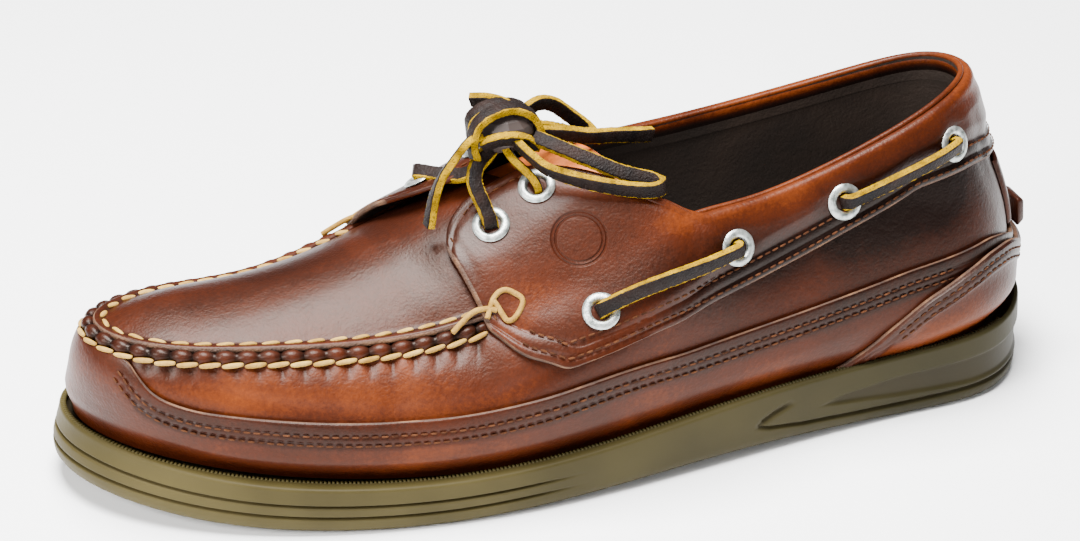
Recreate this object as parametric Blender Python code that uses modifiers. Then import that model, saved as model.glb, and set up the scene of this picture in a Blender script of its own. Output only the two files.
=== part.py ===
"""Left boat shoe: a moccasin upper with a plug, a quarter band that carries the eyelets, a low
mudguard and a heel counter, on a one-piece rubber sole. It builds in metres with +Z up, the toe
towards -X and the outer side of the foot towards -Y, standing on Z = 0."""

import math

import bmesh
import bpy
import numpy as np
from mathutils import Matrix, Vector

# Sizes of the last and the sole
FOOT_LENGTH = 0.286
BALL_HALF_WIDTH = 0.048
UPPER_RISE = 0.069
PLUG_DOME = 0.0215
FLAP_LIFT_OUTER = 0.0022
FLAP_LIFT_INNER = 0.0050
HEEL_SOLE_HEIGHT = 0.025
TOE_SPRING = 0.0065
SOLE_LIP = 0.006

# Leather, and the clearance between pieces that meet
FIT_GAP = 0.0003
WALL_THICKNESS = 0.0020
OVERLAY_THICKNESS = 0.0016
SHELL_INSET = 0.0011
TONGUE_THICKNESS = 0.0022
TONGUE_DROP = 0.0020
INSOLE_THICKNESS = 0.0030
INSOLE_ROUND = 0.0010
SEAM_RIDGE = 0.0024

# Details of the sole
LIP_ROUND = 0.0010
TOE_LEAN = 0.0024
TOE_LEAN_FROM = 5.8
SIDE_GROOVE_DEPTH = 0.0009
SIDE_GROOVE_HALF = 0.0007
FRONT_GROOVES_FROM = 4.4
HEEL_GROOVES_TO = 2.9
FRONT_GROOVE_HEIGHTS = (0.60, 0.38)
WAIST_GROOVE_HEIGHTS = (0.62, 0.32)
HEEL_GROOVE_HEIGHTS = (0.66, 0.24)
BOTTOM_ROUND = 0.0035
TREAD_RIM = 0.0110
TREAD_GROOVE_WIDTH = 0.0022
TREAD_GROOVE_DEPTH = 0.0018

# Eyelets and lace
EYELET_RADIUS = 0.0054
EYELET_BORE = 0.0027
EYELET_WALL = 0.0004
EYELET_HEIGHT = 0.0011
EYELET_BARREL = 0.0042
FLAP_EYELET_BARREL = 0.0019
EYELET_FACETS = 10
LACE_WIDTH = 0.0042
LACE_THICKNESS = 0.0024
CORD_RADIUS = 0.0019
CROSSING_RISE = 0.0072
CROSSING_PULL = 0.0170
LACE_BEND = 0.0022
KNOT_SIZE = (0.0190, 0.0125, 0.0120)
KNOT_CLEARANCE = 0.0009
KNOT_SETBACK = 0.0065

# Heel tab
TAB_WIDTH = 0.0130
TAB_HEIGHT = 0.0100
TAB_DEPTH = 0.0030

# The sections round the shoe, from the middle of the heel along the outer side to the toe and back
# along the inner side. Columns: x of the foot line (share of FOOT_LENGTH), y of it (share of
# BALL_HALF_WIDTH), lip (share of SOLE_LIP), height of the sole's top (share of HEEL_SOLE_HEIGHT),
# lift of its underside (share of TOE_SPRING), lean of the wall at the foot in degrees, x and y of
# the wall's top edge, its rise over the sole (share of UPPER_RISE), how far the wall has turned
# inwards at its top in degrees, and the dome over the toes and instep (share of PLUG_DOME).
SECTIONS = {
    "heel back":          (0.500,  0.00, 0.90, 1.00, 0.00, 16,  0.457,  0.03, 1.00, 10, 1.00),
    "heel corner, outer": (0.450, -0.57, 0.95, 0.93, 0.00, 16,  0.413, -0.36, 1.03, 10, 1.00),
    "heel side, outer":   (0.340, -0.74, 0.62, 0.84, 0.00, 16,  0.325, -0.55, 0.96, 10, 1.00),
    "waist, outer":       (0.170, -0.86, 0.72, 0.79, 0.32, 14,  0.180, -0.67, 0.83, 12, 1.00),
    "instep, outer":      (-0.005, -0.99, 0.92, 0.64, 0.23, 16,  0.065, -0.72, 0.81, 40, 0.93),
    "ball, outer":        (-0.170, -1.00, 1.00, 0.56, 0.00, 22, -0.115, -0.76, 0.54, 55, 0.76),
    "toe side, outer":    (-0.330, -0.78, 1.10, 0.64, 0.20, 22, -0.315, -0.63, 0.47, 55, 0.53),
    "toe corner, outer":  (-0.445, -0.40, 1.00, 0.81, 0.74,  6, -0.443, -0.36, 0.43, 42, 0.36),
    "toe tip":            (-0.500,  0.07, 0.76, 0.90, 1.00, -2, -0.482,  0.11, 0.41, 34, 0.32),
    "toe corner, inner":  (-0.474,  0.55, 0.88, 0.83, 0.62,  6, -0.406,  0.47, 0.40, 42, 0.36),
    "toe side, inner":    (-0.360,  0.79, 1.08, 0.72, 0.15, 24, -0.306,  0.56, 0.42, 52, 0.53),
    "ball, inner":        (-0.214,  0.90, 1.00, 0.66, 0.00, 20, -0.194,  0.59, 0.56, 50, 0.76),
    "instep, inner":      (-0.035,  0.76, 0.92, 0.74, 0.23, 14, -0.010,  0.57, 0.77, 38, 0.93),
    "waist, inner":       (0.146,  0.66, 0.75, 0.84, 0.32, 12,  0.165,  0.63, 0.81, 12, 1.00),
    "heel side, inner":   (0.321,  0.71, 0.75, 0.92, 0.00, 14,  0.335,  0.58, 0.89, 10, 1.00),
    "heel corner, inner": (0.450,  0.55, 0.95, 0.97, 0.00, 16,  0.433,  0.39, 0.98, 10, 1.00),
}
SECTION_COUNT = len(SECTIONS)
STATIONS_PER_SECTION = 4
TOE_TIP = 8
DOME_POLE = 6.6
PLUG_REAR = 4.5

# Rows that every piece of the upper shares, so that pieces lying on each other have the same facets
WALL_ROWS = (0.0, 0.16, 0.32, 0.48, 0.64, 0.80, 0.90, 0.955, 1.0)
DOME_ROWS = (1.07, 1.13, 1.34, 1.56, 1.78, 2.0)
ALL_ROWS = WALL_ROWS + DOME_ROWS
LOWER_PULL = 0.42
UPPER_PULL = 0.38

# Edges of the panels, as pairs of (place along the sections, share of the wall's height). A share
# over 1 lies on the dome, 2 being the middle line.
MUDGUARD_EDGE = ((0.0, 0.225), (0.45, 0.235), (0.8, 0.32), (1.1, 0.365), (2.0, 0.38), (2.8, 0.35),
                 (3.6, 0.33), (4.5, 0.37), (5.3, 0.46),
                 (6.0, 0.50), (6.55, 0.53), (6.8, 0.59), (6.95, 0.70), (7.06, 0.88), (8.0, 0.88))
BAND_LOWER_EDGE = ((0.0, 0.60), (0.5, 0.62), (1.0, 0.67), (1.8, 0.71), (2.4, 0.66), (3.1, 0.58), (3.7, 0.52), (4.2, 0.50),
                   (4.5, 0.51), (4.8, 0.71), (5.0, 0.93))
BAND_UPPER_EDGE = ((0.0, 1.0), (3.6, 1.0), (3.75, 1.05), (4.0, 1.24), (4.25, 1.62), (4.4, 1.86), (4.5, 1.90),
                   (4.75, 1.90), (5.0, 1.68))
BAND_FRONT = 5.0
COUNTER_EDGE = ((0.0, 0.20), (0.45, 0.21), (0.8, 0.292), (0.95, 0.312), (1.2, 0.32), (1.5, 0.29), (1.9, 0.23), (2.2, 0.13), (2.4, 0.03))
COUNTER_FRONT = 2.4
BACKSTAY_HALF = 0.4
BACKSTAY_EDGES = (0.262, 0.58)
TONGUE_REACH = (4.0, 5.0)
TONGUE_ROWS = (1.34, 1.56, 1.78, 2.0)

# Places of the outer side's eyelets; the inner side has the same
EYELET_PLACES = {
    "throat_front": (4.75, 1.56),
    "throat_rear": (4.46, 1.64),
    "side_1": (4.41, 0.78),
    "side_2": (3.29, 0.80),
    "side_3": (2.41, 0.82),
    "side_4": (1.28, 0.82),
}
SIDE_EYELETS = ("side_1", "side_2", "side_3", "side_4")
LACE_BARS = (("side_1", "side_2"), ("side_3", "side_4"))
LACE_CROSSINGS = (("outer_throat_front", "inner_throat_rear"), ("inner_throat_front", "outer_throat_rear"))

# Routes of the bow, as points from the middle of the knot, for a medium-stiff flat lace
BOW_ROUTES = {
    "lace_loop_outer": ((0.002, -0.008, -0.001), (0.004, -0.012, -0.003), (0.008, -0.0165, -0.006),
                        (0.016, -0.021, -0.0085), (0.026, -0.0245, -0.0108), (0.035, -0.0265, -0.0121),
                        (0.039, -0.0245, -0.0122), (0.037, -0.0215, -0.0111), (0.029, -0.0185, -0.009),
                        (0.021, -0.0145, -0.0058), (0.014, -0.01, -0.003), (0.0095, -0.006, -0.001)),
    "lace_loop_inner": ((0.0075, 0.0055, 0.0025), (0.0135, 0.009, 0.003), (0.0185, 0.0105, 0.0015),
                        (0.024, 0.011, -0.003), (0.029, 0.01, -0.0075), (0.029, 0.0065, -0.008),
                        (0.0225, 0.005, -0.006), (0.016, 0.0045, -0.0035), (0.011, 0.0035, -0.0015)),
    "lace_end_front": ((-0.0085, -0.004, 0.001), (-0.012, -0.0055, 0.001), (-0.017, -0.0075, -0.003),
                       (-0.021, -0.0085, -0.0075), (-0.0235, -0.009, -0.013), (-0.0252, -0.009, -0.0215)),
    "lace_end_rear": ((0.0115, -0.0015, -0.0015), (0.018, -0.002, -0.0025), (0.025, -0.002, -0.0043),
                      (0.033, -0.0015, -0.0053), (0.041, -0.001, -0.0066), (0.045, 0.0, -0.0074)),
}

COLLECTION_NAME = "boat_shoe"


def clear_scene():
    for item in list(bpy.data.objects):
        bpy.data.objects.remove(item, do_unlink=True)


def material(name, colour, roughness, metallic=0.0):
    made = bpy.data.materials.new(name)
    made.use_nodes = True
    shader = made.node_tree.nodes["Principled BSDF"]
    shader.inputs["Base Color"].default_value = (*colour, 1.0)
    shader.inputs["Roughness"].default_value = roughness
    shader.inputs["Metallic"].default_value = metallic
    return made


def ring_spline(values):
    """Smooth closed curve through one value, or one point, for each section."""
    knots = np.asarray(values, float)
    count = len(knots)
    system = 4.0 * np.eye(count) + np.roll(np.eye(count), 1, 0) + np.roll(np.eye(count), -1, 0)
    bends = np.linalg.solve(system, 6.0 * (np.roll(knots, -1, 0) - 2.0 * knots + np.roll(knots, 1, 0)))

    def value(place):
        place = np.mod(np.asarray(place, float), count)
        low = np.floor(place).astype(int) % count
        high = (low + 1) % count
        share = place - np.floor(place)
        if knots.ndim == 2:
            share = share[..., None]
        rest = 1.0 - share
        return (knots[low] * rest + knots[high] * share
                + (bends[low] * (rest**3 - rest) + bends[high] * (share**3 - share)) / 6.0)

    return value


def edge_curve(pairs):
    """Height share of a panel's edge at a place, the same on the outer and the inner side."""
    places, shares = zip(*pairs)

    def value(place):
        place = np.mod(np.asarray(place, float), SECTION_COUNT)
        side = np.minimum(place, SECTION_COUNT - place)
        return np.interp(side, places, shares)

    return value


COLUMNS = np.array(list(SECTIONS.values()), float).T
foot_raw = ring_spline(np.stack([COLUMNS[0] * FOOT_LENGTH, COLUMNS[1] * BALL_HALF_WIDTH], 1))
lip_width = ring_spline(COLUMNS[2] * SOLE_LIP)
sole_height = ring_spline(COLUMNS[3] * HEEL_SOLE_HEIGHT)
bottom_lift_raw = ring_spline(COLUMNS[4] * TOE_SPRING)
wall_lean = ring_spline(np.radians(COLUMNS[5]))
top_raw = ring_spline(np.stack([COLUMNS[6] * FOOT_LENGTH, COLUMNS[7] * BALL_HALF_WIDTH,
                                COLUMNS[3] * HEEL_SOLE_HEIGHT + COLUMNS[8] * UPPER_RISE], 1))
wall_turn = ring_spline(np.radians(COLUMNS[9]))
dome_height = ring_spline(COLUMNS[10] * PLUG_DOME)


def stations(first, last):
    """Places from one section to another at the shared spacing, so that facets of pieces line up."""
    numbers = np.arange(round(first * STATIONS_PER_SECTION), round(last * STATIONS_PER_SECTION) + 1)
    return numbers / STATIONS_PER_SECTION


RING = stations(0, SECTION_COUNT)[:-1]
INSOLE_INSET = SHELL_INSET + WALL_THICKNESS + 2.0 * FIT_GAP


def outward(curve, place):
    """Unit horizontal direction out of a closed curve."""
    step = 1e-3
    along = (curve(np.asarray(place) + step) - curve(np.asarray(place) - step))[..., :2]
    out = np.stack([-along[..., 1], along[..., 0]], -1)
    return TURN_SIGN * out / np.linalg.norm(out, axis=-1, keepdims=True)


TURN_SIGN = 1.0
if np.sum(outward(foot_raw, RING) * foot_raw(RING)) < 0:
    TURN_SIGN = -1.0

SOLE_OUTLINE = foot_raw(RING) + outward(foot_raw, RING) * lip_width(RING)[:, None]
CENTRE = (SOLE_OUTLINE.min(0) + SOLE_OUTLINE.max(0)) / 2.0


def foot(place):
    return foot_raw(place) - CENTRE


def top_edge(place):
    raised = np.array([-CENTRE[0], -CENTRE[1], FIT_GAP])
    return top_raw(place) + raised


def bottom_lift(place):
    return np.maximum(bottom_lift_raw(place), 0.0)


def horizontal(directions):
    return np.concatenate([directions, np.zeros(directions.shape[:-1] + (1,))], -1)


def wall(place, share):
    """Point on the upper's wall, from the foot line at share 0 to the top edge at share 1."""
    place, share = np.broadcast_arrays(np.asarray(place, float), np.asarray(share, float))
    low = np.concatenate([foot(place), (sole_height(place) + FIT_GAP)[..., None]], -1)
    high = top_edge(place)
    length = np.linalg.norm(high - low, axis=-1)[..., None]
    lean = wall_lean(place)[..., None]
    turn = wall_turn(place)[..., None]
    up = np.array([0.0, 0.0, 1.0])
    out_low = horizontal(outward(foot, place))
    out_high = horizontal(outward(top_edge, place))
    pull_low = low + LOWER_PULL * length * (np.cos(lean) * up + np.sin(lean) * out_low)
    pull_high = high - UPPER_PULL * length * (np.cos(turn) * up - np.sin(turn) * out_high)
    share = share[..., None]
    rest = 1.0 - share
    return (low * rest**3 + 3.0 * pull_low * share * rest**2
            + 3.0 * pull_high * share**2 * rest + high * share**3)


def flap_lift(place):
    """How far the flaps' free edges stand over the plug: the inner flap is pulled up more."""
    return np.where(np.mod(place, SECTION_COUNT) > TOE_TIP, FLAP_LIFT_INNER, FLAP_LIFT_OUTER)


def crown(place, lift=0.0):
    """Middle line over the toes and instep, above the halfway point between the two top edges."""
    side = np.minimum(place, SECTION_COUNT - place)
    side = np.minimum(side, DOME_POLE)
    middle = (top_edge(side) + top_edge(SECTION_COUNT - side)) / 2.0
    middle[..., 2] += dome_height(side) + lift
    return middle


def dome(place, share, lift=0.0):
    """Point between the wall's top edge at share 0 and the middle line at share 1."""
    place = np.mod(np.asarray(place, float), SECTION_COUNT)
    place, share = np.broadcast_arrays(place, np.asarray(share, float))
    low = top_edge(place)
    high = crown(place, lift)
    point = low + (high - low) * share[..., None]
    point[..., 2] = low[..., 2] + (high[..., 2] - low[..., 2]) * (1.0 - (1.0 - share) ** 2)
    return point


def skin(place, share, lift=0.0):
    place, share = np.broadcast_arrays(np.asarray(place, float), np.asarray(share, float))
    on_wall = wall(place, np.minimum(share, 1.0))
    on_dome = dome(place, np.clip(share - 1.0, 0.0, 1.0), lift)
    return np.where((share <= 1.0)[..., None], on_wall, on_dome)


def grid_faces(rows, columns, closed=False):
    """Quads of a grid whose points are numbered row by row."""
    faces = []
    for row in range(rows - 1 if not closed else rows):
        following = (row + 1) % rows
        for column in range(columns - 1):
            faces.append((row * columns + column, following * columns + column,
                          following * columns + column + 1, row * columns + column + 1))
    return faces


def weld(points, faces, *layers, snap=1e-6):
    """Merges points that coincide, and drops the faces that this closes up."""
    keys = np.round(points / snap).astype(np.int64)
    _, first, back = np.unique(keys, axis=0, return_index=True, return_inverse=True)
    back = back.ravel()
    kept = []
    for face in faces:
        corners = []
        for corner in (int(back[index]) for index in face):
            if corner not in corners:
                corners.append(corner)
        if len(corners) > 2:
            kept.append(tuple(corners))
    return (points[first], kept, *(layer[first] for layer in layers))


def vertex_normals(points, faces):
    normals = np.zeros_like(points)
    for face in faces:
        corners = points[list(face)]
        following = np.roll(corners, -1, 0)
        normal = np.cross(corners, following).sum(0)
        for index in face:
            normals[index] += normal
    lengths = np.linalg.norm(normals, axis=1, keepdims=True)
    return normals / np.maximum(lengths, 1e-12)


def make_object(name, points, faces, skin_material, smooth_degrees=35.0):
    """Mesh object from points and faces, with its faces turned outwards."""
    mesh = bpy.data.meshes.new(name)
    mesh.from_pydata([tuple(point) for point in points], [], [list(face) for face in faces])
    work = bmesh.new()
    work.from_mesh(mesh)
    bmesh.ops.recalc_face_normals(work, faces=work.faces)
    work.to_mesh(mesh)
    work.free()
    mesh.materials.append(skin_material)
    mesh.shade_smooth()
    mesh.set_sharp_from_angle(angle=math.radians(smooth_degrees))
    made = bpy.data.objects.new(name, mesh)
    shoe.objects.link(made)
    return made


def sheet_solid(name, points, faces, outer, inner, skin_material, on_floor=None):
    """Closed solid between two offsets of one open surface. Points flagged on_floor move level."""
    layers = [np.broadcast_to(np.asarray(outer, float), len(points)).copy(),
              np.broadcast_to(np.asarray(inner, float), len(points)).copy(),
              np.zeros(len(points), bool) if on_floor is None else np.asarray(on_floor, bool)]
    points, faces, outer, inner, level = weld(points, faces, *layers)
    normals = vertex_normals(points, faces)
    spread = points - np.array([points[:, 0].mean(), points[:, 1].mean(), HEEL_SOLE_HEIGHT])
    if np.sum(normals * spread) < 0:
        normals = -normals
    normals[level, 2] = 0.0
    normals /= np.linalg.norm(normals, axis=1, keepdims=True)
    shell = np.concatenate([points + normals * outer[:, None], points + normals * inner[:, None]])
    count = len(points)
    edges = {}
    for face in faces:
        for start, end in zip(face, face[1:] + face[:1]):
            edges[(start, end)] = edges.get((start, end), 0) + 1
    solid = list(faces) + [tuple(index + count for index in reversed(face)) for face in faces]
    for start, end in edges:
        if (end, start) not in edges:
            solid.append((end, start, start + count, end + count))
    return make_object(name, shell, solid, skin_material)


def across(ring_count, first, faces):
    """Closes a ring of points by quads from each outer place to the inner place facing it."""
    half = ring_count // 2
    for index in range(half):
        corners = (first + index, first + index + 1, first + (ring_count - index - 1) % ring_count,
                   first + (ring_count - index) % ring_count)
        unique = tuple(dict.fromkeys(corners))
        if len(unique) > 2:
            faces.append(unique)


def ring_solid(name, rings, skin_material):
    """Closed solid through rings of points, its first and last rings closed straight across."""
    count = len(rings[0])
    points = np.concatenate(rings)
    faces = []
    for level in range(len(rings) - 1):
        for index in range(count):
            following = (index + 1) % count
            faces.append((level * count + index, level * count + following,
                          (level + 1) * count + following, (level + 1) * count + index))
    across(count, 0, faces)
    across(count, (len(rings) - 1) * count, faces)
    return make_object(name, points, faces, skin_material)


def fade(place, start, end, run=0.35):
    """1 between two places of one side, 0 outside them, with a smooth run at each end."""
    place = np.mod(np.asarray(place, float), SECTION_COUNT)
    side = np.minimum(place, SECTION_COUNT - place)
    rise = np.clip((side - start) / run, 0.0, 1.0) if start > 0 else 1.0
    fall = np.clip((end - side) / run, 0.0, 1.0) if end < TOE_TIP else 1.0
    return rise * fall


def build_sole(rubber):
    """One-piece sole: lip, side with two long grooves, rounded lower edge, and a tread field
    inside a groove. The toe springs and its side leans back, the arch is lifted, heel and ball
    are flat."""
    out = outward(foot, RING)
    line = foot(RING)
    top = sole_height(RING)
    low = bottom_lift(RING)
    lip = lip_width(RING)
    side = top - low

    def ring(offset, height):
        return np.concatenate([line + out * np.asarray(offset).reshape(-1, 1) * np.ones((len(RING), 1)),
                               np.broadcast_to(height, len(RING))[:, None]], 1)

    front = fade(RING, FRONT_GROOVES_FROM, TOE_TIP)
    heel = fade(RING, 0.0, HEEL_GROOVES_TO)
    groove = SIDE_GROOVE_DEPTH * np.maximum(front, heel)
    groove_heights = [front_height * front + heel_height * heel + waist_height * (1 - front - heel)
                      for front_height, waist_height, heel_height
                      in zip(FRONT_GROOVE_HEIGHTS, WAIST_GROOVE_HEIGHTS, HEEL_GROOVE_HEIGHTS)]
    from_heel = np.minimum(RING, SECTION_COUNT - RING)
    lean = TOE_LEAN * np.clip((from_heel - TOE_LEAN_FROM) / (TOE_TIP - TOE_LEAN_FROM), 0.0, 1.0)
    lean_start = FRONT_GROOVE_HEIGHTS[1]
    tread = lip - TREAD_RIM
    rings = [
        ring(-INSOLE_INSET, top),
        ring(lip - lean - LIP_ROUND, top),
        ring(lip - lean, top - LIP_ROUND),
    ]
    for share in groove_heights:
        middle = low + side * share
        face = lip - lean * np.clip(share - lean_start, 0.0, 1.0) / (1.0 - lean_start)
        rings += [ring(face, middle + SIDE_GROOVE_HALF), ring(face - groove, middle),
                  ring(face, middle - SIDE_GROOVE_HALF)]
    rings += [
        ring(lip, low + BOTTOM_ROUND * 0.8),
        ring(lip - BOTTOM_ROUND * 0.3, low + BOTTOM_ROUND * 0.22),
        ring(lip - BOTTOM_ROUND, low),
        ring(tread, low),
        ring(tread - TREAD_GROOVE_WIDTH * 0.3, low + TREAD_GROOVE_DEPTH),
        ring(tread - TREAD_GROOVE_WIDTH * 0.7, low + TREAD_GROOVE_DEPTH),
        ring(tread - TREAD_GROOVE_WIDTH, low),
    ]
    return ring_solid("sole", rings, rubber)


def build_insole(leather):
    line = foot(RING) - outward(foot, RING) * INSOLE_INSET
    under = sole_height(RING) + FIT_GAP
    tuck = line - outward(foot, RING) * INSOLE_ROUND
    rings = [np.concatenate([tuck, (under + INSOLE_THICKNESS)[:, None]], 1),
             np.concatenate([line, (under + INSOLE_THICKNESS - INSOLE_ROUND)[:, None]], 1),
             np.concatenate([line, under[:, None]], 1)]
    return ring_solid("insole", rings, leather)


def seam_ridge(places, shares):
    """Height of the raised seam where the gathered wall meets the plug."""
    profile = np.interp(shares, (0.90, 0.955, 1.0, 1.07, 1.13), (0.0, 0.85, 1.0, 0.9, 0.0))
    return SEAM_RIDGE * profile * fade(places, BAND_FRONT, TOE_TIP, run=0.25)


def build_upper(leather):
    """Hollow shell of the moccasin: walls all round and the plug over the toes, joined by the
    raised seam. It is open at the collar and throat, and underneath, where the sole closes it."""
    wall_shares = np.array(WALL_ROWS)
    places, shares = (values.ravel() for values in np.meshgrid(RING, wall_shares, indexing="ij"))
    points = wall(places, shares)
    faces = grid_faces(len(RING), len(wall_shares), closed=True)
    plug_places = stations(PLUG_REAR, SECTION_COUNT - PLUG_REAR)
    plug_shares = np.array((1.0,) + DOME_ROWS) - 1.0
    more_places, more_shares = (values.ravel() for values
                                in np.meshgrid(plug_places, plug_shares, indexing="ij"))
    faces += [tuple(index + len(points) for index in face)
              for face in grid_faces(len(plug_places), len(plug_shares))]
    points = np.concatenate([points, dome(more_places, more_shares)])
    places = np.concatenate([places, more_places])
    shares = np.concatenate([shares, 1.0 + more_shares])
    return sheet_solid("upper", points, faces, -SHELL_INSET + seam_ridge(places, shares),
                       -SHELL_INSET - WALL_THICKNESS, leather, on_floor=shares == 0.0)


def panel(name, places, lower, upper, leather, lifted=False, closed=False, on_floor=False, stacked=0.0):
    """Overlay cut from the upper's own surface between two edges, standing a gap outside it."""
    low, high = lower(places), upper(places)
    rows = [row for row in ALL_ROWS if low.min() < row < high.max()]
    rows = np.array([low.min()] + rows + [high.max()])
    shares = np.clip(rows[None, :], low[:, None], high[:, None])
    grid_places = np.broadcast_to(places[:, None], shares.shape).ravel()
    points = skin(grid_places, shares.ravel(), flap_lift(grid_places) if lifted else 0.0)
    faces = grid_faces(len(places), len(rows), closed=closed)
    level = (shares.ravel() == 0.0) if on_floor else None
    inner = -SHELL_INSET + FIT_GAP + stacked
    return sheet_solid(name, points, faces, inner + OVERLAY_THICKNESS, inner, leather, on_floor=level)


def site(place, share, lift=0.0):
    """Point on the skin, its outward normal and the direction along the shoe there."""
    step = 0.02
    ahead, behind = skin(place + step, share, lift), skin(place - step, share, lift)
    above, below = skin(place, share + step, lift), skin(place, share - step, lift)
    along = (ahead - behind) / np.linalg.norm(ahead - behind)
    normal = np.cross(along, above - below)
    normal /= np.linalg.norm(normal)
    point = skin(np.array(place), np.array(share), lift)
    middle = np.array([point[0], 0.0, HEEL_SOLE_HEIGHT])
    if np.dot(normal, point - middle) < 0:
        normal = -normal
    return point, normal, along


def eyelet_sites():
    """Every eyelet with its face point on the quarter band, its normal and its direction."""
    found = {}
    for side, mirrored in (("outer", False), ("inner", True)):
        for name, (place, share) in EYELET_PLACES.items():
            place = SECTION_COUNT - place if mirrored else place
            point, normal, along = site(place, share, flap_lift(place))
            face = point + normal * (-SHELL_INSET + 2.0 * FIT_GAP + OVERLAY_THICKNESS)
            found[f"{side}_{name}"] = (Vector(face), Vector(normal), Vector(along))
    return found


def frame_matrix(point, normal, along):
    """Placement with Z along the normal and X along the shoe."""
    first = (along - normal * along.dot(normal)).normalized()
    second = normal.cross(first)
    turned = Matrix((first, second, normal)).transposed().to_4x4()
    return Matrix.Translation(point) @ turned


def build_counter_and_stay(leather):
    """Heel counter over the mudguard, the stay up the back of the heel, and the stitched tab."""
    edge = edge_curve(COUNTER_EDGE)
    layer = OVERLAY_THICKNESS + FIT_GAP
    panel("heel_counter", stations(-COUNTER_FRONT, COUNTER_FRONT), lambda places: 0.0 * places, edge,
          leather,
          on_floor=True, stacked=layer)
    stay = np.linspace(-BACKSTAY_HALF, BACKSTAY_HALF, 5)
    low, high = BACKSTAY_EDGES
    panel("backstay", stay, lambda places: low + 0.0 * places, lambda places: high + 0.0 * places, leather)
    point, normal, along = site(0.0, low - 0.015)
    face = -SHELL_INSET + 3.0 * FIT_GAP + 2.0 * OVERLAY_THICKNESS
    middle = Vector(point + normal * (face + TAB_DEPTH / 2.0))
    work = bmesh.new()
    bmesh.ops.create_cube(work, size=1.0)
    bmesh.ops.scale(work, vec=(TAB_WIDTH, TAB_HEIGHT, TAB_DEPTH), verts=work.verts)
    outer_face = [vertex for vertex in work.verts if vertex.co.z > 0]
    bmesh.ops.scale(work, vec=(0.75, 0.65, 1.0), verts=outer_face)
    mesh = bpy.data.meshes.new("heel_tab")
    bmesh.ops.transform(work, verts=work.verts, matrix=frame_matrix(middle, Vector(normal), Vector(along)))
    work.to_mesh(mesh)
    work.free()
    mesh.materials.append(leather)
    shoe.objects.link(bpy.data.objects.new("heel_tab", mesh))


def build_tongue(leather):
    """Tongue from under the plug up to its free end, which lies lower than the flaps."""
    rear, front = TONGUE_REACH
    half = stations(rear, front)
    shares = np.array(TONGUE_ROWS) - 1.0
    rows = []
    for place in half:
        drop = TONGUE_DROP * np.clip((PLUG_REAR - place) / (PLUG_REAR - rear), 0.0, 1.0)
        one_side = dome(np.full(4, place), shares) - np.array([0.0, 0.0, drop])
        other = dome(np.full(4, SECTION_COUNT - place), shares) - np.array([0.0, 0.0, drop])
        rows.append(np.concatenate([one_side, other[-2::-1]]))
    points = np.concatenate(rows)
    outer = -(SHELL_INSET + WALL_THICKNESS + FIT_GAP)
    sheet_solid("tongue", points, grid_faces(len(half), 7), outer, outer - TONGUE_THICKNESS, leather)


def eyelet_mesh(name, barrel_length, steel):
    """Half section of a rolled eyelet, to be turned about Z."""
    bore, barrel = EYELET_BORE, EYELET_BORE + EYELET_WALL
    profile = [(bore, -barrel_length), (bore, EYELET_HEIGHT * 0.6),
               (barrel + EYELET_WALL * 1.5, EYELET_HEIGHT),
               (EYELET_RADIUS, FIT_GAP), (barrel, FIT_GAP), (barrel, -barrel_length)]
    mesh = bpy.data.meshes.new(name)
    mesh.from_pydata([(radius, 0.0, height) for radius, height in profile],
                     [(index, (index + 1) % len(profile)) for index in range(len(profile))], [])
    mesh.materials.append(steel)
    return mesh


def build_eyelets(sites, steel):
    """Rolled eyelets: a turned profile set in each hole, longer where it goes through both layers."""
    deep = eyelet_mesh("side_eyelet", EYELET_BARREL, steel)
    shallow = eyelet_mesh("flap_eyelet", FLAP_EYELET_BARREL, steel)
    for name, (point, normal, along) in sites.items():
        eyelet = bpy.data.objects.new(f"eyelet_{name}", deep if name.endswith(SIDE_EYELETS) else shallow)
        eyelet.matrix_world = frame_matrix(point, normal, along)
        turned = eyelet.modifiers.new("Turned", "SCREW")
        turned.steps = turned.render_steps = EYELET_FACETS
        turned.use_merge_vertices = True
        turned.merge_threshold = 0.00001
        turned.use_smooth_shade = True
        shoe.objects.link(eyelet)


def cut_holes(name, target, sites, radius):
    """Drills eyelet holes along their normals through a piece of leather."""
    work = bmesh.new()
    for point, normal, along in sites:
        bmesh.ops.create_cone(work, cap_ends=True, segments=EYELET_FACETS, radius1=radius, radius2=radius,
                              depth=3.0 * EYELET_BARREL, matrix=frame_matrix(point, normal, along))
    mesh = bpy.data.meshes.new(name)
    work.to_mesh(mesh)
    work.free()
    drill = bpy.data.objects.new(name, mesh)
    drill.hide_render = True
    drill.display_type = "WIRE"
    cutters.objects.link(drill)
    cut = target.modifiers.new("Eyelet holes", "BOOLEAN")
    cut.operation = "DIFFERENCE"
    cut.solver = "EXACT"
    cut.object = drill


def strap(name, line, sides, width, thickness, leather):
    """Flat lace swept along a line, its breadth along the side directions."""
    points = []
    for index, (middle, side) in enumerate(zip(line, sides)):
        along = (line[min(index + 1, len(line) - 1)] - line[max(index - 1, 0)]).normalized()
        breadth = (side - along * side.dot(along)).normalized()
        rise = along.cross(breadth)
        for across_share, rise_share in ((-1, -1), (1, -1), (1, 1), (-1, 1)):
            points.append(middle + breadth * across_share * width / 2.0
                          + rise * rise_share * thickness / 2.0)
    faces = []
    for level in range(len(line) - 1):
        for corner in range(4):
            following = (corner + 1) % 4
            faces.append((level * 4 + corner, level * 4 + following, level * 4 + 4 + following,
                          level * 4 + 4 + corner))
    last = (len(line) - 1) * 4
    faces += [(0, 1, 2, 3), (last, last + 1, last + 2, last + 3)]
    return make_object(name, np.array([tuple(point) for point in points]), faces, leather)


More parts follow.
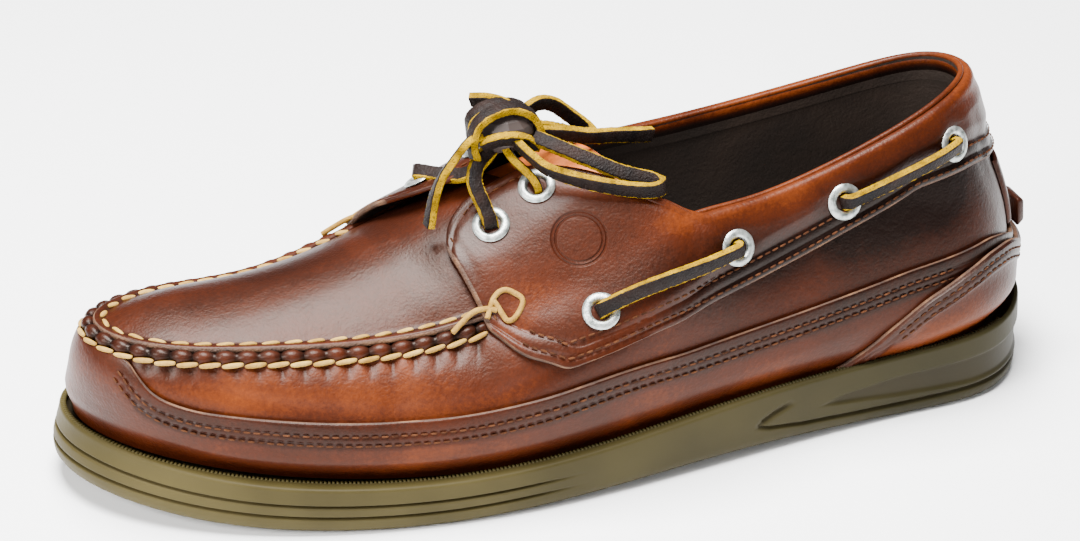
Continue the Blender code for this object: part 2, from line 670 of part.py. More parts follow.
def hermite(start, start_pull, end, end_pull, count):
    """Points of one smooth curve between two places, leaving and arriving along the pulls."""
    line = []
    for index in range(count):
        share = index / (count - 1)
        rest = 1.0 - share
        line.append(start * rest**2 * (1 + 2 * share) + end * share**2 * (3 - 2 * share)
                    + start_pull * share * rest**2 - end_pull * share**2 * rest)
    return line


def build_lace_bars(sites, leather):
    """The four runs of lace that show on the sides, each bending down into the eyelets at its ends."""
    start_height = EYELET_HEIGHT + LACE_THICKNESS / 2.0 + 2.0 * FIT_GAP - LACE_BEND
    turn = ((0.0, -EYELET_HEIGHT), (0.0, start_height), (LACE_BEND * 0.29, start_height + LACE_BEND * 0.71),
            (LACE_BEND, start_height + LACE_BEND))
    for side in ("outer", "inner"):
        for count, (start, end) in enumerate(LACE_BARS, 1):
            first, second = sites[f"{side}_{start}"], sites[f"{side}_{end}"]
            away = (second[0] - first[0]).normalized()
            leave = (away - first[1] * away.dot(first[1])).normalized()
            arrive = (away - second[1] * away.dot(second[1])).normalized()
            line = [first[0] + leave * reach + first[1] * height for reach, height in turn]
            sides = [first[1].cross(leave)] * len(turn)
            finish = [second[0] - arrive * reach + second[1] * height for reach, height in reversed(turn)]
            span = (finish[0] - line[-1]).length
            between = hermite(line[-1], leave * span, finish[0], arrive * span, 6)[1:-1]
            sides += [first[1].lerp(second[1], share).cross(away) for share in (0.2, 0.4, 0.6, 0.8)]
            line += between + finish
            sides += [second[1].cross(arrive)] * len(turn)
            strap(f"lace_bar_{side}_{count}", line, sides, LACE_WIDTH, LACE_THICKNESS, leather)


def build_lace_crossing(sites, leather):
    """The two runs of lace that cross over the tongue, joined where they meet under the knot."""
    throat = [sites[name][0] for pair in LACE_CROSSINGS for name in pair]
    centre = sum(throat, Vector()) / 4.0 + Vector((0.0, 0.0, CROSSING_RISE))
    runs = []
    for count, pair in enumerate(LACE_CROSSINGS):
        first, second = sites[pair[0]], sites[pair[1]]
        middle = centre + Vector((0.0, 0.0, (count - 0.5) * LACE_THICKNESS * 0.6))
        chord = (second[0] - first[0]) * 0.8
        start = first[0] + first[1] * EYELET_HEIGHT
        finish = second[0] + second[1] * EYELET_HEIGHT
        line = ([first[0] - first[1] * EYELET_HEIGHT]
                + hermite(start, first[1] * CROSSING_PULL, middle, chord, 7)
                + hermite(middle, chord, finish, -second[1] * CROSSING_PULL, 7)[1:]
                + [second[0] - second[1] * EYELET_HEIGHT])
        level = chord.cross(Vector((0.0, 0.0, 1.0)))
        runs.append(strap(f"lace_crossing_{count}", line, [level] * len(line), LACE_WIDTH, LACE_THICKNESS,
                          leather))
    crossing, other = runs
    crossing.name = "lace_crossing"
    shoe.objects.unlink(other)
    cutters.objects.link(other)
    other.hide_render = True
    other.display_type = "WIRE"
    joined = crossing.modifiers.new("Crossing", "BOOLEAN")
    joined.operation = "UNION"
    joined.solver = "EXACT"
    joined.object = other
    return centre


def smooth_route(points, spacing):
    """Even points along a smooth curve through the chosen ones."""
    chosen = np.asarray(points, float)
    padded = np.concatenate([2 * chosen[:1] - chosen[1:2], chosen, 2 * chosen[-1:] - chosen[-2:-1]])
    dense = []
    for index in range(len(chosen) - 1):
        before, start, end, after = padded[index:index + 4]
        share = np.linspace(0.0, 1.0, 12, endpoint=False)[:, None]
        dense.append(0.5 * (2 * start + (end - before) * share
                            + (2 * before - 5 * start + 4 * end - after) * share**2
                            + (3 * start - before - 3 * end + after) * share**3))
    dense = np.concatenate(dense + [chosen[-1:]])
    travelled = np.concatenate([[0.0], np.cumsum(np.linalg.norm(np.diff(dense, axis=0), axis=1))])
    count = max(round(travelled[-1] / spacing), 3)
    wanted = np.linspace(0.0, travelled[-1], count + 1)
    return np.stack([np.interp(wanted, travelled, dense[:, axis]) for axis in range(3)], 1)


def on_knot(point):
    """The point moved along its own direction to just clear of the knot."""
    reach = math.sqrt(sum((2.0 * value / size) ** 2 for value, size in zip(point, KNOT_SIZE)))
    return point / reach * (1.0 + KNOT_CLEARANCE / np.linalg.norm(point / reach))


def build_bow(centre, leather):
    """Plain solids of the tied bow: the knot, its two loops and its two cut ends."""
    lift = LACE_THICKNESS * 0.8 + FIT_GAP + KNOT_SIZE[2] / 2.0
    knot = centre + Vector((KNOT_SETBACK, 0.0, lift))
    work = bmesh.new()
    bmesh.ops.create_uvsphere(work, u_segments=12, v_segments=8, radius=0.5)
    bmesh.ops.scale(work, vec=KNOT_SIZE, verts=work.verts)
    bmesh.ops.translate(work, vec=knot, verts=work.verts)
    mesh = bpy.data.meshes.new("lace_knot")
    work.to_mesh(mesh)
    work.free()
    mesh.materials.append(leather)
    shoe.objects.link(bpy.data.objects.new("lace_knot", mesh))
    for name, route in BOW_ROUTES.items():
        route = np.array(route)
        route[0] = on_knot(route[0])
        if name.startswith("lace_loop"):
            route[-1] = on_knot(route[-1])
        tube = bpy.data.curves.new(name, "CURVE")
        tube.dimensions = "3D"
        tube.bevel_depth = CORD_RADIUS
        tube.bevel_resolution = 2
        tube.use_fill_caps = True
        line = smooth_route(route, 5.0 * CORD_RADIUS)
        spline = tube.splines.new("POLY")
        spline.points.add(len(line) - 1)
        for target, point in zip(spline.points, line):
            target.co = (*(knot + Vector(point)), 1.0)
        tube.materials.append(leather)
        shoe.objects.link(bpy.data.objects.new(name, tube))


def build():
    leather = material("oiled_leather", (0.30, 0.075, 0.030), 0.38)
    dark = material("lace_leather", (0.035, 0.022, 0.018), 0.60)
    tan = material("tongue_leather", (0.42, 0.13, 0.045), 0.50)
    lining = material("lining_leather", (0.10, 0.045, 0.022), 0.70)
    rubber = material("gum_rubber", (0.20, 0.155, 0.085), 0.62)
    steel = material("eyelet_metal", (0.72, 0.73, 0.72), 0.35, 1.0)

    build_sole(rubber)
    build_insole(lining)
    upper = build_upper(leather)
    sites = eyelet_sites()
    guard_edge = edge_curve(MUDGUARD_EDGE)
    band_low, band_high = edge_curve(BAND_LOWER_EDGE), edge_curve(BAND_UPPER_EDGE)
    whole_ring = RING
    panel("mudguard", whole_ring, lambda places: 0.0 * places, guard_edge, leather,
          closed=True, on_floor=True)
    band = panel("quarter_band", stations(-BAND_FRONT, BAND_FRONT), band_low, band_high, leather,
                 lifted=True, stacked=FIT_GAP)
    drill_radius = (EYELET_BORE + EYELET_WALL + FIT_GAP) / math.cos(math.pi / EYELET_FACETS)
    sides = [place for name, place in sites.items() if name.endswith(SIDE_EYELETS)]
    cut_holes("side_drill", upper, sides, drill_radius)
    cut_holes("band_drill", band, sites.values(), drill_radius)
    build_counter_and_stay(leather)
    build_tongue(tan)
    build_eyelets(sites, steel)
    build_lace_bars(sites, dark)
    build_bow(build_lace_crossing(sites, dark), dark)


clear_scene()
shoe = bpy.data.collections.new(COLLECTION_NAME)
cutters = bpy.data.collections.new("cutters")
bpy.context.scene.collection.children.link(shoe)
bpy.context.scene.collection.children.link(cutters)
build()
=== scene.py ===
import math

import bmesh
import bpy
import numpy as np
from mathutils import Matrix, Vector


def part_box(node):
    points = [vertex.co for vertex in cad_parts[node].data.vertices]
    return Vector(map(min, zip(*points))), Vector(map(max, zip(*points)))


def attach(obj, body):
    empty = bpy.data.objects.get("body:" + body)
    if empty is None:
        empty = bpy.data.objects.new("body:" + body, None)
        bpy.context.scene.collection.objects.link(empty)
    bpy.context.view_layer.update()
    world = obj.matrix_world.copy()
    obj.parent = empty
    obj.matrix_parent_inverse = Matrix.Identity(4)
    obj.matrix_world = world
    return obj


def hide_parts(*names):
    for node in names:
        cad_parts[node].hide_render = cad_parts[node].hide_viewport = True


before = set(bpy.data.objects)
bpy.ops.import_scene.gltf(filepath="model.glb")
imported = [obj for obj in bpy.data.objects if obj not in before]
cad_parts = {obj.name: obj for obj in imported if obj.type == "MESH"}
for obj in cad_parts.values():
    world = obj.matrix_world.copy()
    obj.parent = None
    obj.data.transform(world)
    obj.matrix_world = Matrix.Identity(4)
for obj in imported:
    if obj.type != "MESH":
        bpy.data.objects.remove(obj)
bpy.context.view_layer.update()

# Camera, light and floor
# The camera looks at the outer side from a little in front of it and above. Light comes from a
# large soft box overhead, one at the toe's side and a weak one in front, on a pale floor.
VIEW_AZIMUTH = math.radians(-19.43)
VIEW_ELEVATION = math.radians(26.69)
VIEW_DISTANCE = 0.900
VIEW_AIM = Vector((0.00014, 0.0030, 0.0453))
VIEW_SLIDE = (-0.00440, 0.00091)
VIEW_LENS = 102.44


def place_camera():
    back = Vector((math.sin(VIEW_AZIMUTH) * math.cos(VIEW_ELEVATION),
                   -math.cos(VIEW_AZIMUTH) * math.cos(VIEW_ELEVATION), math.sin(VIEW_ELEVATION)))
    right = Vector((math.cos(VIEW_AZIMUTH), math.sin(VIEW_AZIMUTH), 0.0))
    up = back.cross(right)
    aim = VIEW_AIM + right * VIEW_SLIDE[0] + up * VIEW_SLIDE[1]
    lens = bpy.data.cameras.new("camera")
    lens.lens = VIEW_LENS
    lens.sensor_width = 36.0
    lens.clip_start = 0.01
    camera = bpy.data.objects.new("camera", lens)
    camera.matrix_world = (Matrix.Translation(aim + back * VIEW_DISTANCE)
                           @ Matrix((right, up, back)).transposed().to_4x4())
    bpy.context.scene.collection.objects.link(camera)
    bpy.context.scene.camera = camera


def soft_box(name, place, aim, size, power, colour):
    lamp = bpy.data.lights.new(name, "AREA")
    lamp.shape = "RECTANGLE"
    lamp.size, lamp.size_y = size
    lamp.energy = power
    lamp.color = colour
    box = bpy.data.objects.new(name, lamp)
    direction = Vector(place) - Vector(aim)
    box.matrix_world = Matrix.Translation(place) @ direction.to_track_quat("Z", "Y").to_matrix().to_4x4()
    bpy.context.scene.collection.objects.link(box)


def feed(tree, node, inputs):
    """Set a node's inputs, by name or number, to values or to other nodes' outputs."""
    for name, value in inputs.items():
        if isinstance(value, bpy.types.NodeSocket):
            tree.links.new(value, node.inputs[name])
        else:
            node.inputs[name].default_value = value


def put(tree, kind, inputs=None, **settings):
    """New shader node with its settings and its inputs."""
    made = tree.nodes.new(kind)
    for name, value in settings.items():
        setattr(made, name, value)
    feed(tree, made, inputs or {})
    return made


def new_material(name, roughness, metallic=0.0):
    made = bpy.data.materials.new(name)
    made.use_nodes = True
    shader = made.node_tree.nodes["Principled BSDF"]
    feed(made.node_tree, shader, {"Roughness": roughness, "Metallic": metallic})
    return made, made.node_tree, shader


place_camera()
soft_box("overhead", (-0.10, 0.00, 1.10), (0.0, 0.0, 0.05), (0.8, 0.5), 80.0, (1.0, 0.99, 0.98))
soft_box("toe_side", (-0.85, -0.35, 0.55), (-0.05, 0.0, 0.05), (0.35, 0.40), 17.0, (1.0, 0.98, 0.96))
soft_box("front_low", (-0.30, -1.05, 0.60), (0.0, 0.0, 0.04), (0.5, 0.20), 4.0, (1.0, 0.98, 0.96))

world = bpy.data.worlds.new("studio")
world.use_nodes = True
world.node_tree.nodes["Background"].inputs["Color"].default_value = (0.93, 0.96, 1.0, 1.0)
world.node_tree.nodes["Background"].inputs["Strength"].default_value = 0.17
bpy.context.scene.world = world

work = bmesh.new()
bmesh.ops.create_grid(work, x_segments=1, y_segments=1, size=4.0)
floor_mesh = bpy.data.meshes.new("floor")
work.to_mesh(floor_mesh)
work.free()
floor = bpy.data.objects.new("floor", floor_mesh)
bpy.context.scene.collection.objects.link(floor)
paper, tree, shader = new_material("studio_paper", roughness=0.85)
shader.inputs["Base Color"].default_value = (0.94, 0.95, 0.96, 1.0)
floor_mesh.materials.append(paper)

# Sole
# One moulded piece of olive rubber: a lip that stands off the upper with a ribbed inner edge,
# long grooves in its side, a smooth rim underneath and a wavy siped tread inside a groove.
FOOT_LENGTH = 0.286
BALL_HALF_WIDTH = 0.048
UPPER_RISE = 0.069
PLUG_DOME = 0.0215
HEEL_SOLE_HEIGHT = 0.025
TOE_SPRING = 0.0065
SOLE_LIP = 0.006
FIT_GAP = 0.0003

# The sections round the last, with the same columns as in the part's source
SECTIONS = {
    "heel back":          (0.500,  0.00, 0.90, 1.00, 0.00, 16,  0.457,  0.03, 1.00, 10, 1.00),
    "heel corner, outer": (0.450, -0.57, 0.95, 0.93, 0.00, 16,  0.413, -0.36, 1.03, 10, 1.00),
    "heel side, outer":   (0.340, -0.74, 0.62, 0.84, 0.00, 16,  0.325, -0.55, 0.96, 10, 1.00),
    "waist, outer":       (0.170, -0.86, 0.72, 0.79, 0.32, 14,  0.180, -0.67, 0.83, 12, 1.00),
    "instep, outer":      (-0.005, -0.99, 0.92, 0.64, 0.23, 16,  0.065, -0.72, 0.81, 40, 0.93),
    "ball, outer":        (-0.170, -1.00, 1.00, 0.56, 0.00, 22, -0.115, -0.76, 0.54, 55, 0.76),
    "toe side, outer":    (-0.330, -0.78, 1.10, 0.64, 0.20, 22, -0.315, -0.63, 0.47, 55, 0.53),
    "toe corner, outer":  (-0.445, -0.40, 1.00, 0.81, 0.74,  6, -0.443, -0.36, 0.43, 42, 0.36),
    "toe tip":            (-0.500,  0.07, 0.76, 0.90, 1.00, -2, -0.482,  0.11, 0.41, 34, 0.32),
    "toe corner, inner":  (-0.474,  0.55, 0.88, 0.83, 0.62,  6, -0.406,  0.47, 0.40, 42, 0.36),
    "toe side, inner":    (-0.360,  0.79, 1.08, 0.72, 0.15, 24, -0.306,  0.56, 0.42, 52, 0.53),
    "ball, inner":        (-0.214,  0.90, 1.00, 0.66, 0.00, 20, -0.194,  0.59, 0.56, 50, 0.76),
    "instep, inner":      (-0.035,  0.76, 0.92, 0.74, 0.23, 14, -0.010,  0.57, 0.77, 38, 0.93),
    "waist, inner":       (0.146,  0.66, 0.75, 0.84, 0.32, 12,  0.165,  0.63, 0.81, 12, 1.00),
    "heel side, inner":   (0.321,  0.71, 0.75, 0.92, 0.00, 14,  0.335,  0.58, 0.89, 10, 1.00),
    "heel corner, inner": (0.450,  0.55, 0.95, 0.97, 0.00, 16,  0.433,  0.39, 0.98, 10, 1.00),
}
SECTION_COUNT = len(SECTIONS)
TOE_TIP = 8
COLUMNS = np.array(list(SECTIONS.values()), float).T


def ring_spline(values):
    """Smooth closed curve through one value, or one point, for each section."""
    knots = np.asarray(values, float)
    count = len(knots)
    system = 4.0 * np.eye(count) + np.roll(np.eye(count), 1, 0) + np.roll(np.eye(count), -1, 0)
    bends = np.linalg.solve(system, 6.0 * (np.roll(knots, -1, 0) - 2.0 * knots + np.roll(knots, 1, 0)))

    def value(place):
        place = np.mod(np.asarray(place, float), count)
        low = np.floor(place).astype(int) % count
        high = (low + 1) % count
        share = place - np.floor(place)
        if knots.ndim == 2:
            share = share[..., None]
        rest = 1.0 - share
        return (knots[low] * rest + knots[high] * share
                + (bends[low] * (rest**3 - rest) + bends[high] * (share**3 - share)) / 6.0)

    return value


foot_raw = ring_spline(np.stack([COLUMNS[0] * FOOT_LENGTH, COLUMNS[1] * BALL_HALF_WIDTH], 1))
lip_width = ring_spline(COLUMNS[2] * SOLE_LIP)
sole_height = ring_spline(COLUMNS[3] * HEEL_SOLE_HEIGHT)
bottom_lift_raw = ring_spline(COLUMNS[4] * TOE_SPRING)


def unit(vectors):
    return vectors / np.linalg.norm(vectors, axis=-1, keepdims=True)


def run_lengths(points):
    """How far along a line each of its points lies."""
    return np.concatenate([[0.0], np.cumsum(np.linalg.norm(np.diff(points, axis=0), axis=1))])


def outward(curve, place, turn=1.0):
    """Unit horizontal direction out of a closed curve."""
    step = 1e-3
    along = (curve(np.asarray(place) + step) - curve(np.asarray(place) - step))[..., :2]
    return turn * unit(np.stack([along[..., 1], -along[..., 0]], -1))


quarter_places = np.arange(SECTION_COUNT * 4) / 4.0
TURN_SIGN = 1.0 if np.sum(outward(foot_raw, quarter_places) * foot_raw(quarter_places)) > 0 else -1.0
sole_outline = (foot_raw(quarter_places)
                + outward(foot_raw, quarter_places, TURN_SIGN) * lip_width(quarter_places)[:, None])
CENTRE = (sole_outline.min(0) + sole_outline.max(0)) / 2.0


def foot(place):
    return foot_raw(place) - CENTRE


def side_place(place):
    """Place counted from the heel on either side, 0 at the heel and 8 at the toe."""
    place = np.mod(np.asarray(place, float), SECTION_COUNT)
    return np.minimum(place, SECTION_COUNT - place)


def on_side(side_name, place):
    """A place of the outer side, or the one that faces it on the inner side."""
    return SECTION_COUNT - place if side_name == "inner" else place


def smooth_ramp(value, start, end):
    share = np.clip((np.asarray(value, float) - start) / (end - start), 0.0, 1.0)
    return share * share * (3.0 - 2.0 * share)


def bump(value, middle, half):
    """Soft ridge of height 1 about a middle."""
    return np.exp(-((np.asarray(value, float) - middle) / half) ** 2)


def grid_work(columns, rows):
    """Flat bmesh grid, with the column and row number of each of its vertices."""
    made = bmesh.new()
    bmesh.ops.create_grid(made, x_segments=rows - 1, y_segments=columns - 1, size=1.0)
    flat = np.array([vertex.co[:2] for vertex in made.verts])
    row = np.rint((flat[:, 0] + 1.0) / 2.0 * (rows - 1)).astype(int)
    column = np.rint((flat[:, 1] + 1.0) / 2.0 * (columns - 1)).astype(int)
    return made, column, row


def on_shoe(piece):
    """Put a new object in the scene, on the part's one body."""
    bpy.context.scene.collection.objects.link(piece)
    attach(piece, "root")
    return piece


def solid_piece(name, work, materials, degrees=None):
    """Object from a bmesh, shaded smooth but for edges sharper than the given degrees."""
    bmesh.ops.recalc_face_normals(work, faces=work.faces)
    mesh = bpy.data.meshes.new(name)
    work.to_mesh(mesh)
    work.free()
    for material in materials:
        mesh.materials.append(material)
    mesh.shade_smooth()
    if degrees is not None:
        mesh.set_sharp_from_angle(angle=math.radians(degrees))
    return on_shoe(bpy.data.objects.new(name, mesh))


def swept_piece(name, points, materials, row_materials=None, traits=None, cap=False, degrees=50.0,
                end_columns=0):
    """Object from a grid of points (columns, rows), its coinciding edges welded. traits are values
    kept at its vertices, row_materials gives the material slot of each strip between two rows, and
    end_columns strips at each end get slot 1."""
    points = np.asarray(points, float)
    columns, rows = points.shape[:2]
    made, column, row = grid_work(columns, rows)
    for vertex, place in zip(made.verts, points[column, row]):
        vertex.co = place
    if row_materials is not None:
        made.verts.index_update()
        for face in made.faces:
            corners = [vertex.index for vertex in face.verts]
            face.material_index = row_materials[min(row[corners])]
            first = min(column[corners])
            if first < end_columns or first >= columns - 1 - end_columns:
                face.material_index = 1
    for trait, values in (traits or {}).items():
        layer = made.verts.layers.float.new(trait)
        values = np.broadcast_to(values, points.shape[:2])[column, row]
        for vertex, value in zip(made.verts, values):
            vertex[layer] = value
    bmesh.ops.remove_doubles(made, verts=made.verts, dist=2e-6)
    if cap:
        open_edges = [edge for edge in made.edges if edge.is_boundary]
        bmesh.ops.holes_fill(made, edges=open_edges, sides=0)
    return solid_piece(name, made, materials, degrees)


def new_group(name, inputs, outputs):
    """Shader node group with named number, colour and vector sockets."""
    group = bpy.data.node_groups.new(name, "ShaderNodeTree")
    kinds = {"number": "NodeSocketFloat", "colour": "NodeSocketColor", "vector": "NodeSocketVector"}
    for label, (kind, value) in inputs.items():
        socket = group.interface.new_socket(label, in_out="INPUT", socket_type=kinds[kind])
        if value is not None:
            socket.default_value = value
    for label, kind in outputs.items():
        group.interface.new_socket(label, in_out="OUTPUT", socket_type=kinds[kind])
    return group, group.nodes.new("NodeGroupInput"), group.nodes.new("NodeGroupOutput")


def number(tree, operation, *values):
    """Math node, its output given back."""
    return put(tree, "ShaderNodeMath", dict(enumerate(values)), operation=operation).outputs[0]


def blended(tree, factor, first, second):
    """Mix of a colour that a node gives with a fixed one, its output given back."""
    return put(tree, "ShaderNodeMix", {0: factor, 6: first, 7: (*second, 1.0)}, data_type="RGBA").outputs[2]


def ramp(tree, factor, stops):
    """Colour ramp through (position, colour) stops, its output given back."""
    made = put(tree, "ShaderNodeValToRGB", {"Fac": factor})
    points = made.color_ramp.elements
    while len(points) < len(stops):
        points.new(0.5)
    for point, (position, colour) in zip(points, stops):
        point.position = position
        point.color = (*colour, 1.0)
    return made.outputs["Color"]


def speckle_group():
    """Uneven colour and a fine skin, for rubber, thread and raw leather edges."""
    group, given, gives = new_group("fine_speckle", {
        "Vector": ("vector", None), "Size": ("number", 0.001), "Patch": ("number", 0.02)},
        {"Fine": "number", "Broad": "number"})
    fine = put(group, "ShaderNodeTexNoise", {"Vector": given.outputs["Vector"], "Detail": 3.0,
               "Scale": number(group, "DIVIDE", 1.0, given.outputs["Size"])})
    broad = put(group, "ShaderNodeTexNoise", {"Vector": given.outputs["Vector"], "Detail": 2.0,
                "Scale": number(group, "DIVIDE", 1.0, given.outputs["Patch"])})
    group.links.new(fine.outputs["Fac"], gives.inputs["Fine"])
    group.links.new(broad.outputs["Fac"], gives.inputs["Broad"])
    return group


def surface_pattern(tree, group, inputs):
    """Outputs of a pattern group laid over the object's own coordinates, and these coordinates."""
    spot = put(tree, "ShaderNodeTexCoord").outputs["Object"]
    return put(tree, "ShaderNodeGroup", {"Vector": spot, **inputs}, node_tree=group).outputs, spot


def vertex_value(tree, name):
    return put(tree, "ShaderNodeAttribute", attribute_name=name).outputs["Fac"]


def bumped(tree, shader, height, distance, strength=1.0):
    normal = put(tree, "ShaderNodeBump", {"Height": height, "Distance": distance, "Strength": strength})
    feed(tree, shader, {"Normal": normal.outputs["Normal"]})


fine_speckle = speckle_group()


def speckled(name, roughness, size, patch, depth, stops, metallic=0.0):
    """Material with a fine skin, its colour following the broad pattern through the stops."""
    made, tree, shader = new_material(name, roughness, metallic)
    pattern, _ = surface_pattern(tree, fine_speckle, {"Size": size, "Patch": patch})
    feed(tree, shader, {"Base Color": ramp(tree, pattern["Broad"], stops)})
    bumped(tree, shader, pattern["Fine"], depth)
    return made, tree, shader, pattern


def sole_rubber():
    """Mottled rubber with cut sipes, darker in the tread, with painted shade towards the heel, in the lip's
    gap, on its shelf and in the side and tread grooves.
    """
    made, tree, shader = new_material("olive_rubber", 0.62)
    pattern, spot = surface_pattern(tree, fine_speckle, {"Size": 0.0012, "Patch": 0.030})
    tread = vertex_value(tree, "tread")
    recess_shade = vertex_value(tree, "recess_shade")
    colour = ramp(tree, pattern["Broad"], ((0.30, (0.034, 0.0265, 0.0075)), (0.70, (0.056, 0.044, 0.0140))))
    lengthwise = put(tree, "ShaderNodeSeparateXYZ", {"Vector": spot}).outputs["X"]
    # Painted shade: the rubber darkens from the toe towards the heel, where less light falls.
    heel_painted_shade = number(tree, "MINIMUM", number(tree, "MULTIPLY_ADD", lengthwise, 4.0, 0.32), 0.68)
    colour = blended(tree, number(tree, "MAXIMUM", heel_painted_shade, 0.0), colour, (0.0085, 0.0080, 0.0030))
    colour = blended(tree, tread, colour, (0.030, 0.030, 0.014))
    # Painted shade in the lip's gap, on its shelf and in the grooves, where the light does not reach.
    colour = blended(tree, number(tree, "MULTIPLY", recess_shade, 0.85), colour, (0.018, 0.013, 0.008))
    stretch = put(tree, "ShaderNodeMapping", {"Vector": spot, "Scale": (60.0, 170.0, 0.0)})
    bend = put(tree, "ShaderNodeTexNoise", {"Vector": stretch.outputs["Vector"], "Scale": 1.0, "Detail": 1.5,
               "Distortion": 0.9})
    folds = number(tree, "PINGPONG", number(tree, "MULTIPLY", bend.outputs["Fac"], 9.0), 1.0)
    cuts = number(tree, "MULTIPLY", number(tree, "LESS_THAN", folds, 0.16), tread)
    height = number(tree, "SUBTRACT", number(tree, "MULTIPLY", pattern["Fine"], 0.06), cuts)
    bumped(tree, shader, height, 0.0008)
    feed(tree, shader, {"Base Color": colour, "Specular IOR Level": 0.10,
                        "Roughness": number(tree, "MULTIPLY_ADD", pattern["Broad"], 0.16, 0.46)})
    return made


SOLE_COLUMNS = 720
SIDE_ROWS = 62
LIP_SHELF = 0.0020
LIP_RIDGE = 0.0016
LIP_ROUND = 0.0010
TOE_LEAN = 0.0024
RIM_GAP_TOE = 0.0030
RIM_GAP_HEEL = 0.0050
SIDE_GROOVE_DEPTH = 0.0011
SIDE_GROOVE_HALF = 0.00040
TREAD_RIM = 0.0110
TREAD_GROOVE_WIDTH = 0.0022
TREAD_GROOVE_DEPTH = 0.0018
BOTTOM_ROUND = 0.0035
FRONT_GROOVES = (0.62, 0.37)
HEEL_HOOK = ((3.05, 0.43), (3.02, 0.52), (2.95, 0.61), (2.84, 0.70))
HEEL_GROOVE = ((3.05, 0.43), (2.98, 0.36), (2.76, 0.28), (2.40, 0.24), (0.0, 0.22))
HEEL_LENS_TOP = ((2.72, 0.50), (2.5, 0.63), (2.1, 0.72), (0.0, 0.70))
HEEL_LENS_LOW = ((2.72, 0.50), (2.5, 0.44), (2.1, 0.36), (1.4, 0.29), (0.0, 0.27))

rubber = sole_rubber()


def side_relief(place, share):
    """How deep the sole's side is cut at a share of its height: two long grooves round the toe
    and forefoot, and at the heel a hooked groove and a scooped lens that widens to the back."""
    side = side_place(place)
    half = SIDE_GROOVE_HALF / (HEEL_SOLE_HEIGHT * 0.62)
    cut = sum(bump(share, middle, half) for middle in FRONT_GROOVES) * smooth_ramp(side, 4.15, 4.65)

    def at(pairs):
        places, shares = zip(*sorted(pairs))
        return np.interp(side, places, shares)

    groove = bump(share, at(HEEL_GROOVE), half * 1.1) * smooth_ramp(3.06 - side, 0.0, 0.02)
    hook = bump(share, at(HEEL_HOOK), half * 1.8) * smooth_ramp(3.06 - side, 0.0, 0.02)
    hook = hook * smooth_ramp(side, 2.81, 2.89)
    inside = np.minimum(at(HEEL_LENS_TOP) - share, share - at(HEEL_LENS_LOW))
    lens = 0.75 * smooth_ramp(inside, 0.0, 0.07) * smooth_ramp(2.72 - side, 0.0, 0.25)
    return SIDE_GROOVE_DEPTH * np.maximum(np.maximum(cut, groove), np.maximum(hook, lens))


def lip_shape(place):
    """Share of the heel's dished form, the toe's lean, and how far out the lip's flat top starts."""
    side = side_place(place)
    heel = 1.0 - smooth_ramp(side, 0.8, 2.3)
    lean = TOE_LEAN * smooth_ramp(side, 5.8, 7.6)
    rim = lip_width(place) - lean
    return heel, lean, np.minimum(LIP_SHELF, 0.45 * rim) * (1.0 - heel) + (rim - LIP_RIDGE) * heel


def to_middle(row, reaches):
    """Rows from a closed one towards the line half way between its two sides."""
    facing = row[(-np.arange(len(row))) % (len(row) - 1)]
    return [row + (0.5 * (row + facing) - row) * reach for reach in reaches]


